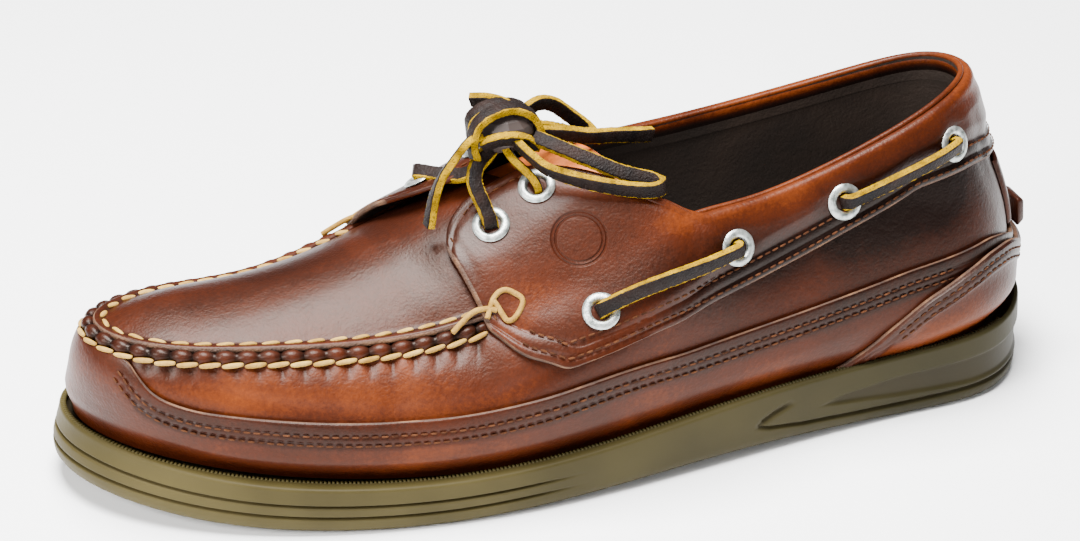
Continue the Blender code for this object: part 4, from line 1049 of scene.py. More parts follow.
def panel_slots(counts):
    """Slots of a panel's strips: leather outside, raw edge along its top, lining inside."""
    outside, over, inside, under = counts
    return [0] * (outside + 1) + [1] * (over - 1) + [2] * inside + [0] * (under + 1)


def panel_tones(place, share, counts, extra=0.0):
    tone = leather_tone(place, share) + extra
    _, over, inside, under = counts
    return np.concatenate([tone, np.repeat(tone[:, -1:], over, 1), np.full((len(tone), inside), -0.6),
                           np.repeat(tone[:, :1], under, 1), tone[:, :1]], 1)


def channels(distance, rows):
    return sum(bump(distance, row, 0.00050) for row in rows)


def build_mudguard():
    place = even_places(lambda at: wall(at, 0.3), 0.0, SECTION_COUNT, 0.0012)
    guard = edge_curve(MUDGUARD_EDGE)

    def relief(at, share, to_low, to_top, speed):
        full = 0.0006 * np.sin(np.pi * np.clip(share / 0.45, 0.0, 1.0)) * smooth_ramp(to_top, 0.007, 0.013)
        full = full * (1.0 - smooth_ramp(side_place(at), 6.3, 6.8))
        rows = channels(to_top, GUARD_STITCHES) * (1.0 - smooth_ramp(side_place(at), 7.10, 7.25))
        return (full - STITCH_GROOVE * rows
                + crease_relief(at, share, speed) * smooth_ramp(to_low, 0.001, 0.006))

    near_top = (0.0, 0.0007, 0.0014, 0.0021, 0.0026, 0.0030, 0.0034, 0.0039, 0.0047, 0.0052, 0.0056, 0.0060,
                0.0066, 0.0080, 0.0100)
    base = -SHELL_INSET + FIT_GAP
    loop, counts, at, share, _, to_top = panel_loop(
        place, FOOT_REACH, guard(place), base + OVERLAY_THICKNESS, base, near_top, NEAR_FOOT, 5,
        relief=relief, inner_rows=12, slant=edge_slant(place, guard), sunk=True)
    dark = -0.45 * smooth_ramp(0.0078 - to_top, 0.0, 0.0012)
    dark = dark * (1.0 - smooth_ramp(side_place(at), 7.05, 7.25))
    guard_piece = swept_piece("mudguard_dressed", loop, [leather, raw_edge, lining], panel_slots(counts),
                              traits={"tone": panel_tones(at, share, counts, dark)})
    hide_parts("mudguard")


EMBLEM_PLACE = (4.43, 1.19)
EYELET_PLACES = {
    "throat_front": (4.75, 1.56),
    "throat_rear": (4.46, 1.64),
    "side_1": (4.41, 0.78),
    "side_2": (3.29, 0.80),
    "side_3": (2.41, 0.82),
    "side_4": (1.28, 0.82),
}
COLLAR_FOLD = 0.0046
HEM_STITCH = 0.0024
NOSE_INSET = HEM_STITCH + 0.0008
NOSE_STEP = 0.050
FACING_DEPTH = 0.0085


def band_edges(place):
    """Lower and upper edge of the quarter band, rounded off at its two front ends."""
    side = side_place(place)
    low = edge_curve(BAND_LOWER_EDGE, 0.06)(place)
    high = edge_curve(BAND_UPPER_EDGE, 0.06)(place)
    close = np.clip((side - (BAND_FRONT - 0.16)) / 0.16, 0.0, 1.0)
    round_off = 1.0 - np.sqrt(1.0 - close**2)
    return low + 0.10 * round_off, high - 0.22 * round_off


def build_band():
    half = even_places(lambda at: wall(at, 0.8), 0.0, BAND_FRONT, 0.0011)
    tail = BAND_FRONT - np.array([0.020, 0.010, 0.004, 0.0])
    half = np.concatenate([half[half < BAND_FRONT - 0.024], tail])
    place = np.concatenate([-half[:0:-1], half])
    side = side_place(place)
    low, high = band_edges(place)
    end = np.sqrt(1.0 - np.clip((side - (BAND_FRONT - 0.022)) / 0.022, 0.0, 1.0) ** 2) * 0.96 + 0.04
    flap = smooth_ramp(side, 3.45, 3.80)
    half_flap = OVERLAY_THICKNESS / 2.0 * end
    middle = -SHELL_INSET + 2.0 * FIT_GAP + OVERLAY_THICKNESS / 2.0
    outer = middle + half_flap
    inner = np.where(flap > 0.999, middle - half_flap,
                     (middle - half_flap) * flap + (outer - COLLAR_FOLD) * (1.0 - flap))
    _, _, _, speed = surface_frame(place, high - 0.05, flap_lift(place), eased_skin)
    inner_low = (high - FACING_DEPTH / speed) * (1.0 - flap) + low * flap
    tuck = (middle - half_flap) * flap + (middle - 0.0020) * (1.0 - flap)

    def relief(at, share, to_low, to_top, speed):
        pad = 0.0010 * smooth_ramp(to_low, 0.0062, 0.0110) * smooth_ramp(to_top, 0.0, 0.0060)
        pad = pad * (1.0 - 0.6 * smooth_ramp(side_place(at), 3.5, 4.3))
        for spot_place, spot_share in EYELET_PLACES.values():
            along = (side_place(at) - spot_place) * SECTION_STEP
            rise = (share - spot_share) * speed
            pad = pad * (1.0 - np.exp(-((along**2 + rise**2) / 0.0080**2) ** 1.5))
        hem = smooth_ramp(side_place(at), 3.55, 3.8) * bump(to_top, HEM_STITCH, 0.00050)
        nose = bump((BAND_FRONT - side_place(at)) * NOSE_STEP, NOSE_INSET, 0.0005)
        track = channels(to_low, BAND_STITCHES) + hem + nose * smooth_ramp(share, 0.9, 1.0)
        return pad - STITCH_GROOVE * np.minimum(track, 1.0) + crease_relief(at, share, speed)

    near_low = (0.0, 0.0008, 0.0014, 0.0018, 0.0022, 0.0028, 0.0040, 0.0051, 0.0056, 0.0061, 0.0068, 0.0085)
    near_top = (0.0, 0.0008, 0.0016, 0.0022, 0.0028, 0.0040)
    loop, counts, at, share, to_low, to_top = panel_loop(
        place, low, high, outer, inner, near_top, near_low, 22, lift=flap_lift(place), surface=eased_skin,
        relief=relief, inner_rows=8, inner_low=inner_low, tuck=tuck)
    darker = -0.35 * smooth_ramp(0.0066 - to_low, 0.0, 0.0012) * smooth_ramp(4.3 - side_place(at), 0.0, 0.5)
    tones = panel_tones(at, share, counts, darker)
    facing = counts[0] + counts[1]
    tones[:, counts[0] + 3:facing + 4] = leather_tone(place, 0.97)[:, None] - 0.1
    tones[:, facing:facing + 4] -= np.array([0.1, 0.7, 1.2, 1.6])
    slots = [0] * (facing + 3) + [2] * (counts[2] - 4) + [1] * counts[3] + [0] * 2
    emblem, face, _, _ = surface_frame(*np.array(EMBLEM_PLACE), FLAP_LIFT_OUTER, eased_skin)
    flap_leather = pull_up_leather("flap_leather", LEATHER_STOPS, 0.40, 0.13,
                                   press=tuple(emblem + face * 0.0011))
    band = swept_piece("band", loop, [flap_leather, raw_edge, lining], row_materials=slots,
                       traits={"tone": tones}, cap=True, end_columns=3)
    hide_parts("quarter_band")


def build_counter():
    place = even_places(lambda at: wall(at, 0.15), -COUNTER_FRONT, COUNTER_FRONT, 0.0011)
    counter_edge = edge_curve(COUNTER_EDGE)
    high = np.maximum(counter_edge(place), FOOT_REACH + 0.045)
    base = -SHELL_INSET + 2.0 * FIT_GAP + OVERLAY_THICKNESS

    def relief(at, share, to_low, to_top, speed):
        hem = 0.0005 * smooth_ramp(0.0058 - to_top, 0.0, 0.0006)
        full = 0.0008 * smooth_ramp(to_top, 0.006, 0.014) * smooth_ramp(to_low, 0.0, 0.006)
        return hem + full - STITCH_GROOVE * channels(to_top, COUNTER_STITCHES)

    near_top = (0.0, 0.0007, 0.0013, 0.0018, 0.0023, 0.0030, 0.0037, 0.0042, 0.0047, 0.0054, 0.0060, 0.0080)
    loop, counts, at, share, _, to_top = panel_loop(
        place, FOOT_REACH, high, base + OVERLAY_THICKNESS, base, near_top, NEAR_FOOT, 5,
        relief=relief, inner_rows=12, slant=edge_slant(place, counter_edge), sunk=True)
    tones = panel_tones(at, share, counts, -0.35 * smooth_ramp(0.0060 - to_top, 0.0, 0.0012))
    counter = swept_piece("counter", loop, [leather, raw_edge, lining], panel_slots(counts),
                          traits={"tone": tones}, cap=True)
    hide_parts("heel_counter")


BACKSTAY_HALF = 0.4
BACKSTAY_EDGES = (0.262, 0.58)


def build_backstay():
    place = np.linspace(-BACKSTAY_HALF, BACKSTAY_HALF, 25)
    edge = np.sqrt(1.0 - (np.abs(place) / BACKSTAY_HALF) ** 8) * 0.95 + 0.05
    inner = -SHELL_INSET + FIT_GAP
    outer = inner + OVERLAY_THICKNESS * edge
    loop, counts, at, share, _, _ = panel_loop(place, *BACKSTAY_EDGES, outer, inner, (0.0, 0.0010),
                                               (0.0, 0.0010), 6)
    stay = swept_piece("backstay_dressed", loop, [leather], traits={"tone": panel_tones(at, share, counts)},
                       cap=True)
    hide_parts("backstay")


TAB_WIDTH = 0.0130
TAB_HEIGHT = 0.0100
TAB_DEPTH = 0.0030


def build_tab():
    """Small tab, a bevelled block, over the counter's top edge."""
    spot, face, rise, _ = surface_frame(np.array(0.0), np.array(BACKSTAY_EDGES[0] - 0.015))
    face, rise = Vector(face), Vector(rise)
    middle = Vector(spot) + face * (-SHELL_INSET + 3.0 * FIT_GAP + 2.0 * OVERLAY_THICKNESS + TAB_DEPTH / 2.0)
    tab_work = bmesh.new()
    bmesh.ops.create_cube(tab_work, size=1.0)
    bmesh.ops.scale(tab_work, vec=(TAB_WIDTH, TAB_HEIGHT, TAB_DEPTH), verts=tab_work.verts)
    shown = [vertex for vertex in tab_work.verts if vertex.co.z > 0]
    bmesh.ops.scale(tab_work, vec=(0.78, 0.70, 1.0), verts=shown)
    bmesh.ops.bevel(tab_work, geom=tab_work.edges[:], offset=0.0011, affect="EDGES", segments=3, profile=0.5,
                    material=-1)
    turned = Matrix((rise.cross(face), rise, face)).transposed().to_4x4()
    bmesh.ops.transform(tab_work, verts=tab_work.verts, matrix=Matrix.Translation(middle) @ turned)
    tab = solid_piece("tab", tab_work, [leather])
    tone = tab.data.attributes.new("tone", "FLOAT", "POINT")
    tone.data.foreach_set("value", np.full(len(tab.data.vertices), -0.5))
    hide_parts("heel_tab")


build_mudguard()
build_band()
build_counter()
build_backstay()
build_tab()

# Tongue
# A tongue of orange-brown leather that comes out from under the plug and ends behind the throat,
# with softly rounded edges.
TONGUE_REACH = (4.0, 5.0)
TONGUE_DROP = 0.0020
TONGUE_THICKNESS = 0.0022
TONGUE_EDGE = 1.34


def build_tongue():
    rear, front = TONGUE_REACH
    place = np.linspace(rear, front, 40)
    halves = np.linspace(TONGUE_EDGE - 1.0, 1.0, 16)
    rows = []
    for at in place:
        drop = np.array([0.0, 0.0, TONGUE_DROP * np.clip((PLUG_REAR - at) / (PLUG_REAR - rear), 0.0, 1.0)])
        near_side = dome(np.full(16, at), halves) - drop
        far_side = dome(np.full(16, SECTION_COUNT - at), halves) - drop
        rows.append(np.concatenate([near_side, far_side[-2::-1]]))
    sheet = np.stack(rows)
    ahead = np.gradient(sheet, axis=0)
    aside = np.gradient(sheet, axis=1)
    normal = unit(np.cross(ahead, aside))
    normal *= np.sign(normal[..., 2:3])
    outer = -(SHELL_INSET + WALL_THICKNESS + FIT_GAP)
    upper_face = sheet + normal * outer
    lower_face = sheet + normal * (outer - TONGUE_THICKNESS)
    loop = np.concatenate([upper_face, lower_face[:, ::-1], upper_face[:, :1]], 1)
    tone = np.full(loop.shape[:2], 0.35)
    tongue = swept_piece("tongue_dressed", loop, [tongue_leather], traits={"tone": tone}, cap=True)
    softened = tongue.modifiers.new("Soft edge", "BEVEL")
    softened.width = 0.0007
    softened.segments = 3
    softened.limit_method = "ANGLE"
    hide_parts("tongue")


tongue_leather = pull_up_leather("tongue_leather", (
    (0.10, (0.11, 0.020, 0.005)), (0.45, (0.30, 0.060, 0.010)), (0.85, (0.50, 0.130, 0.022))), 0.48, 0.05)
build_tongue()

# Eyelets
# Twelve rolled eyelets of aged white metal, set through the band, each with a plain face. Two sit
# on each flap and four on each side.
EYELET_RADIUS = 0.0054
EYELET_BORE = 0.0027
EYELET_HEIGHT = 0.0011
EYELET_BARREL = 0.0028
FLAP_EYELET_BARREL = 0.0019


metal, tree, shader, pattern = speckled("aged_eyelet_metal", 0.38, 0.0005, 0.0018, 0.0001, (
    (0.25, (0.14, 0.16, 0.15)), (0.50, (0.40, 0.43, 0.41)), (0.75, (0.62, 0.64, 0.62))), metallic=0.85)
feed(tree, shader, {"Roughness": number(tree, "MULTIPLY_ADD", pattern["Broad"], 0.35, 0.22)})


def eyelet_site(place, share):
    """Middle of an eyelet on the leather, its axis, and the direction along the shoe."""
    lift = float(flap_lift(place))
    point, normal, _, _ = surface_frame(np.array(place), np.array(share), lift, skin)
    face = point + normal * (-SHELL_INSET + 2.0 * FIT_GAP + OVERLAY_THICKNESS)
    axis = Vector(normal)
    ahead = Vector(skin(place + 0.02, share, lift) - skin(place - 0.02, share, lift))
    along = (ahead - axis * ahead.dot(axis)).normalized()
    return Vector(face), axis, along


def build_eyelet(name, site, barrel):
    point, axis, along = site
    bore, rim = EYELET_BORE, EYELET_RADIUS
    profile = [(bore, -barrel), (bore, -0.0004), (bore + 0.00015, 0.00035),
               (bore + 0.0005, EYELET_HEIGHT * 0.86),
               (bore + 0.0010, EYELET_HEIGHT), (bore + 0.0016, EYELET_HEIGHT * 0.98),
               (rim - 0.0006, EYELET_HEIGHT * 0.80), (rim - 0.00015, EYELET_HEIGHT * 0.55),
               (rim, FIT_GAP * 1.2), (rim - 0.0002, FIT_GAP * 0.6), (bore + 0.0005, FIT_GAP * 0.6),
               (bore + 0.0004, -barrel)]
    turning = bmesh.new()
    corners = [turning.verts.new((radius, 0.0, height)) for radius, height in profile]
    edges = [turning.edges.new((corners[index - 1], corners[index])) for index in range(len(corners))]
    bmesh.ops.spin(turning, geom=corners + edges, cent=(0, 0, 0), axis=(0, 0, 1), angle=math.tau, steps=36,
                   use_merge=True)
    bmesh.ops.remove_doubles(turning, verts=turning.verts, dist=1e-6)
    second = axis.cross(along)
    turned = Matrix.Translation(point) @ Matrix((along, second, axis)).transposed().to_4x4()
    bmesh.ops.transform(turning, verts=turning.verts, matrix=turned)
    eyelet = solid_piece(name, turning, [metal], 50.0)
    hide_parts(f"eyelet_{name[5:]}")


sites = {}
for side_name in ("outer", "inner"):
    for eyelet_name, (at_place, at_share) in EYELET_PLACES.items():
        site = eyelet_site(on_side(side_name, at_place), at_share)
        sites[f"{side_name}_{eyelet_name}"] = site
        barrel = EYELET_BARREL if eyelet_name.startswith("side") else FLAP_EYELET_BARREL
        build_eyelet(f"ring_{side_name}_{eyelet_name}", site, barrel)

# Lace
# One flat rawhide lace, dark on its faces with raw yellow cut edges. It shows as two runs on each
# side, crosses over the tongue through the flaps' eyelets, and ends in a tied bow.
LACE_WIDTH = 0.0042
LACE_THICKNESS = 0.0024
LACE_BEND = 0.0022
LACE_CORNER = 0.00035
LACE_STEP = 0.0007
BAR_LEAN = math.radians(36.0)
LACE_BARS = (("side_1", "side_2"), ("side_3", "side_4"))
# Runs from the flaps' eyelets to the knot: points from the middle of the knot, each with the
# direction of the lace's breadth there
THROAT_RUNS = {
    "outer_throat_front": (
        ((-0.0103, -0.0140, -0.0158), (-0.97, -0.05, 0.20)),
        ((-0.0119, -0.0100, -0.0096), (-0.97, -0.05, 0.20)),
        ((-0.0088, -0.0050, -0.0055), (-0.90, -0.30, 0.40)),
        ((-0.0030, -0.0020, -0.0030), (-0.6, -0.6, 0.4))),
    "inner_throat_front": (
        ((-0.0206, 0.0135, -0.0152), (0.30, 0.83, 0.48)), ((-0.0150, 0.0075, -0.0146), (0.29, 0.83, 0.48)),
        ((-0.0100, 0.0020, -0.0125), (0.29, 0.83, 0.48)), ((-0.0050, 0.0005, -0.0080), (0.4, 0.8, 0.4)),
        ((-0.0010, 0.0000, -0.0030), (0.5, 0.8, 0.3))),
    "outer_throat_rear": (
        ((0.0042, -0.0098, -0.0096), (-0.3, -0.75, 0.5)), ((0.0008, -0.0058, -0.0060), (-0.3, -0.75, 0.5)),
        ((-0.0006, -0.0020, -0.0030), (-0.3, -0.8, 0.4))),
    "inner_throat_rear": (
        ((0.0040, 0.0080, -0.0080), (1.0, 0.1, 0.0)), ((0.0015, 0.0035, -0.0045), (1.0, 0.1, 0.0)),
        ((0.0000, 0.0010, -0.0020), (1.0, 0.1, 0.0))),
}


lace_face, tree, shader, _ = speckled("lace_face", 0.55, 0.0007, 0.0060, 0.0004, (
    (0.30, (0.004, 0.003, 0.003)), (0.60, (0.009, 0.005, 0.004)), (0.80, (0.014, 0.006, 0.004))))
feed(tree, shader, {"Specular IOR Level": 0.10})

lace_edge, tree, shader, pattern = speckled("lace_raw_edge", 0.80, 0.0005, 0.0040, 0.0006, (
    (0.25, (0.10, 0.055, 0.0)), (0.50, (0.26, 0.150, 0.0)), (0.78, (0.42, 0.250, 0.0))))
specks = number(tree, "MULTIPLY", number(tree, "LESS_THAN", pattern["Fine"], 0.38), 0.75)
plain_colour = shader.inputs["Base Color"].links[0].from_socket
feed(tree, shader, {"Base Color": blended(tree, specks, plain_colour, (0.050, 0.030, 0.004)),
                    "Specular IOR Level": 0.03})

# The lace's section: a rectangle with rounded corners, in shares of its breadth and thickness
LACE_SECTION = []
for corner_x, corner_y, first_turn in ((1, -1, -90), (1, 1, 0), (-1, 1, 90), (-1, -1, 180)):
    for turn in (0, 45, 90):
        angle = math.radians(first_turn + turn)
        round_x, round_y = LACE_CORNER / LACE_WIDTH, LACE_CORNER / LACE_THICKNESS
        LACE_SECTION.append((corner_x * (0.5 - round_x) + round_x * math.cos(angle),
                             corner_y * (0.5 - round_y) + round_y * math.sin(angle)))
LACE_SLOTS = [1 if index % 12 in (0, 1, 2, 6, 7, 8) else 0 for index in range(12)]


def smooth_line(points, spacing):
    """Even points along a smooth curve through chosen ones, with any further columns kept along."""
    chosen = np.asarray(points, float)
    padded = np.concatenate([2 * chosen[:1] - chosen[1:2], chosen, 2 * chosen[-1:] - chosen[-2:-1]])
    dense = []
    for index in range(len(chosen) - 1):
        before, start, end, after = padded[index:index + 4]
        share = np.linspace(0.0, 1.0, 14, endpoint=False)[:, None]
        dense.append(0.5 * (2 * start + (end - before) * share
                            + (2 * before - 5 * start + 4 * end - after) * share**2
                            + (3 * start - before - 3 * end + after) * share**3))
    dense = np.concatenate(dense + [chosen[-1:]])
    far = run_lengths(dense[:, :3])
    count = max(round(far[-1] / spacing), 4)
    wanted = np.linspace(0.0, far[-1], count + 1)
    return np.stack([np.interp(wanted, far, dense[:, axis]) for axis in range(dense.shape[1])], 1)


def lace_run(name, route, seed):
    """Flat lace swept along a route of points and breadth directions, its edges a bit ragged."""
    line, breadth = route[:, :3], route[:, 3:]
    along = unit(np.gradient(line, axis=0))
    breadth = unit(breadth - along * np.sum(breadth * along, 1, keepdims=True))
    rise = np.cross(along, breadth)
    uneven = np.random.default_rng(seed)
    across = np.array([corner[0] for corner in LACE_SECTION]) * LACE_WIDTH
    height = np.array([corner[1] for corner in LACE_SECTION]) * LACE_THICKNESS
    wobble = uneven.normal(0.0, 0.00007, (len(line), 12))
    ragged = across[None, :] + wobble * np.sign(across)[None, :]
    loop = (line[:, None] + breadth[:, None] * ragged[..., None]
            + rise[:, None] * (height[None, :] + wobble * 0.5)[..., None])
    loop = np.concatenate([loop, loop[:, :1]], 1)
    run = swept_piece(name, loop, [lace_face, lace_edge], LACE_SLOTS + [1], cap=True, degrees=60.0)
    return run


def hermite(start, start_pull, end, end_pull, count):
    """Points of one smooth curve between two places, leaving and arriving along the pulls."""
    line = []
    for index in range(count):
        share = index / (count - 1)
        rest = 1.0 - share
        line.append(start * rest**2 * (1 + 2 * share) + end * share**2 * (3 - 2 * share)
                    + start_pull * share * rest**2 - end_pull * share**2 * rest)
    return line


def leaned(flat, normal, share):
    """Direction of the breadth, from flat on the leather to leaned up by the full angle at share 1."""
    return flat * math.cos(BAR_LEAN * share) + normal * math.sin(BAR_LEAN * share)


def build_bars():
    """The side runs: each comes up out of one eyelet, bends, and goes down into the next."""
    start_height = EYELET_HEIGHT + LACE_THICKNESS / 2.0 + 2.0 * FIT_GAP - LACE_BEND
    turn = ((0.0, -2.0 * EYELET_HEIGHT), (0.0, start_height),
            (LACE_BEND * 0.29, start_height + LACE_BEND * 0.71), (LACE_BEND, start_height + LACE_BEND))
    for side in ("outer", "inner"):
        for count, (start, end) in enumerate(LACE_BARS, 1):
            first, second = sites[f"{side}_{start}"], sites[f"{side}_{end}"]
            away = (second[0] - first[0]).normalized()
            leave = (away - first[1] * away.dot(first[1])).normalized()
            arrive = (away - second[1] * away.dot(second[1])).normalized()
            line = [first[0] + leave * reach + first[1] * height for reach, height in turn]
            upward = 1.0 if first[1].cross(leave).z > 0 else -1.0
            flat = [leaned(first[1].cross(leave) * upward, first[1], share)
                    for share in (0.0, 0.3, 0.7, 1.0)]
            finish = [second[0] - arrive * reach + second[1] * height for reach, height in reversed(turn)]
            span = (finish[0] - line[-1]).length
            between = hermite(line[-1], leave * span, finish[0], arrive * span, 6)[1:-1]
            for share, spot in zip((0.2, 0.4, 0.6, 0.8), between):
                out = first[1].lerp(second[1], share).normalized()
                flat.append(leaned(out.cross(away) * upward, out, 1.0))
                line.append(spot + out * 0.0006)
            line += finish
            flat += [leaned(second[1].cross(arrive) * upward, second[1], share)
                     for share in (1.0, 0.7, 0.3, 0.0)]
            route = smooth_line([(*spot, *way) for spot, way in zip(line, flat)], LACE_STEP)
            bar = lace_run(f"lace_{side}_side_{count}", route, seed=count)
            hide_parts(f"lace_bar_{side}_{count}")


knot_low, knot_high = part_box("lace_knot")
KNOT_MIDDLE = (np.array(knot_low) + np.array(knot_high)) / 2.0


def route_rows(route):
    return np.array([(*spot, *way) for spot, way in route])


def build_throat_runs():
    """The runs that come up through the flaps' eyelets and meet at the knot."""
    for count, (name, route) in enumerate(THROAT_RUNS.items()):
        point, axis, _ = sites[name]
        rows = route_rows(route)
        rows[:, :3] += KNOT_MIDDLE
        through = [(*(point + axis * height), *route[0][1]) for height in (-0.0035, 0.0020)]
        rows = smooth_line(np.concatenate([through, rows]), LACE_STEP)
        run = lace_run(f"lace_{name}", rows, seed=10 + count)
        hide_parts("lace_crossing")


# Routes of the bow from the middle of the knot, the same points as in the part's source, each
# with the direction of the lace's breadth there
BOW_ROUTES = {
    "lace_loop_outer": (
        ((0.002, -0.008, -0.001), (-0.25, -0.62, 0.75)), ((0.004, -0.012, -0.003), (-0.22, -0.62, 0.75)),
        ((0.008, -0.0165, -0.006), (-0.2, -0.55, 0.8)), ((0.016, -0.021, -0.0085), (-0.12, -0.4, 0.9)),
        ((0.026, -0.0245, -0.0108), (-0.08, -0.28, 0.95)),
        ((0.035, -0.0265, -0.0121), (-0.05, -0.15, 0.98)), ((0.039, -0.0245, -0.0122), (0.0, 0.15, 0.97)),
        ((0.037, -0.0215, -0.0111), (0.15, 0.4, 0.88)), ((0.029, -0.0185, -0.009), (0.2, 0.6, 0.76)),
        ((0.021, -0.0145, -0.0058), (0.24, 0.68, 0.68)), ((0.014, -0.01, -0.003), (0.26, 0.72, 0.62)),
        ((0.0095, -0.006, -0.001), (0.28, 0.74, 0.58))),
    "lace_loop_inner": (
        ((0.0075, 0.0055, 0.0025), (-0.1, -0.3, 0.95)), ((0.0135, 0.009, 0.003), (-0.1, -0.3, 0.95)),
        ((0.0185, 0.0105, 0.0015), (-0.1, -0.3, 0.95)), ((0.024, 0.011, -0.003), (-0.1, -0.25, 0.97)),
        ((0.029, 0.01, -0.0075), (0.0, -0.2, 1)), ((0.029, 0.0065, -0.008), (0.1, -0.2, 1)),
        ((0.0225, 0.005, -0.006), (0.0, -0.2, 1)), ((0.016, 0.0045, -0.0035), (0.0, -0.2, 1)),
        ((0.011, 0.0035, -0.0015), (0.0, -0.2, 1))),
    "lace_end_front": (
        ((-0.0085, -0.004, 0.001), (-0.25, -0.85, 0.45)),
        ((-0.012, -0.0055, 0.001), (-0.25, -0.85, 0.45)),
        ((-0.017, -0.0075, -0.003), (-0.25, -0.86, 0.42)),
        ((-0.021, -0.0085, -0.0075), (-0.2, -0.9, 0.35)),
        ((-0.0235, -0.009, -0.013), (-0.05, -0.95, 0.25)),
        ((-0.0252, -0.009, -0.0215), (0.05, -0.98, 0.15))),
    "lace_end_rear": (
        ((0.0115, -0.0015, -0.0015), (-0.1, -0.3, 0.95)), ((0.018, -0.002, -0.0025), (-0.1, -0.3, 0.95)),
        ((0.025, -0.002, -0.0043), (-0.1, -0.3, 0.95)), ((0.033, -0.0015, -0.0053), (-0.08, -0.25, 0.97)),
        ((0.041, -0.001, -0.0066), (-0.05, -0.2, 0.98)), ((0.045, 0.0, -0.0074), (-0.05, -0.2, 0.98))),
}
KNOT_SIZE = (0.0190, 0.0125, 0.0120)
KNOT_CLEARANCE = 0.0009
KNOT_ROUTES = {
    "knot_wrap": (
        ((-0.0098, -0.0045, -0.0050), (0.1, -0.98, 0.1)), ((-0.0108, -0.0050, 0.0005), (0.1, -0.98, 0.0)),
        ((-0.0085, -0.0045, 0.0058), (0.0, -0.98, -0.2)), ((-0.0030, -0.0030, 0.0078), (0.0, -0.98, -0.2)),
        ((0.0030, -0.0020, 0.0076), (0.0, -0.98, -0.2)), ((0.0080, -0.0020, 0.0046), (0.0, -0.98, -0.2)),
        ((0.0100, -0.0025, -0.0005), (0.0, -0.98, -0.1)), ((0.0085, -0.0020, -0.0055), (0.0, -0.98, 0.0))),
    "knot_pass": (
        ((0.0075, -0.0050, -0.0040), (0.2, -0.6, 0.8)), ((0.0030, -0.0068, 0.0000), (0.1, -0.5, 0.85)),
        ((-0.0030, -0.0070, 0.0010), (0.0, -0.5, 0.85)), ((-0.0080, -0.0050, -0.0010), (0.0, -0.5, 0.85))),
    "knot_rear": (
        ((-0.0085, 0.0030, -0.0020), (0.1, 0.98, 0.1)), ((-0.0080, 0.0035, 0.0040), (0.0, 0.98, 0.2)),
        ((-0.0010, 0.0040, 0.0068), (0.0, 0.98, 0.2)), ((0.0070, 0.0035, 0.0048), (0.0, 0.98, 0.2)),
        ((0.0095, 0.0030, -0.0010), (0.0, 0.98, 0.1))),
    "knot_stub": (
        ((-0.0060, 0.0110, 0.0062), (-0.15, -0.5, 0.85)), ((-0.0020, 0.0085, 0.0066), (-0.15, -0.5, 0.85)),
        ((0.0020, 0.0055, 0.0060), (-0.15, -0.5, 0.85)), ((0.0050, 0.0030, 0.0040), (-0.15, -0.5, 0.85))),
}


def on_knot(point):
    """The point moved along its own direction to just clear of the knot."""
    reach = math.sqrt(sum((2.0 * value / size) ** 2 for value, size in zip(point, KNOT_SIZE)))
    return point / reach * (1.0 + KNOT_CLEARANCE / np.linalg.norm(point / reach))


def build_bow():
    """Wraps over the knot's core, and the four free runs that leave it."""
    for count, (name, route) in enumerate(KNOT_ROUTES.items()):
        rows = route_rows(route)
        rows[:, :3] += KNOT_MIDDLE
        lace_run(name, smooth_line(rows, LACE_STEP), seed=30 + count)
    for count, (name, route) in enumerate(BOW_ROUTES.items()):
        rows = route_rows(route)
        rows[0, :3] = on_knot(rows[0, :3])
        loop = name.startswith("lace_loop")
        if loop:
            rows[-1, :3] = on_knot(rows[-1, :3])
        rows[:, :3] += KNOT_MIDDLE
        rows = smooth_line(rows, LACE_STEP)
        run = lace_run(name.replace("lace_", "bow_"), rows, seed=50 + count)
        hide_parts(name)


build_bars()
build_throat_runs()
build_bow()

# Stitching
# Brown machine stitches in the overlays' channels, and heavy cream hand stitches round the plug,
# with a thread tacked over each end of the seam.


def thread_material(name, dark, light):
    """Thread whose colour varies a little from one stitch to the next."""
    made, tree, shader = new_material(name, 0.70)
    pattern, _ = surface_pattern(tree, fine_speckle, {"Size": 0.0004, "Patch": 0.0030})
    mixed = number(tree, "MULTIPLY_ADD", vertex_value(tree, "copy"), 0.30,
                   number(tree, "MULTIPLY", pattern["Broad"], 0.70))
    feed(tree, shader, {"Base Color": ramp(tree, mixed, ((0.25, dark), (0.75, light))),
                        "Specular IOR Level": 0.08})
    bumped(tree, shader, pattern["Fine"], 0.0003)
    return made


brown_thread = thread_material("brown_thread", (0.020, 0.006, 0.002), (0.085, 0.030, 0.011))
cream_thread = thread_material("cream_thread", (0.22, 0.115, 0.020), (0.48, 0.300, 0.080))


def stitch_frames(points, normals, pitch, slant=0.0):
    """Placements along a line, one for each stitch, with X along it and Z out of the leather."""
    far = run_lengths(points)
    count = int(far[-1] / pitch)
    step = far[-1] / count

    def at(here, values):
        return Vector([np.interp(here, far, values[:, axis]) for axis in range(3)])

    frames = []
    for here in (np.arange(count) + 0.5) * step:
        out = at(here, normals).normalized()
        along = (at(here + step * 0.4, points) - at(here - step * 0.4, points)).normalized()
        second = out.cross(along).normalized()
        turned = Matrix((second.cross(out), second, out)).transposed().to_4x4()
        frames.append(Matrix.Translation(at(here, points)) @ turned @ Matrix.Rotation(slant, 4, "Z"))
    return frames


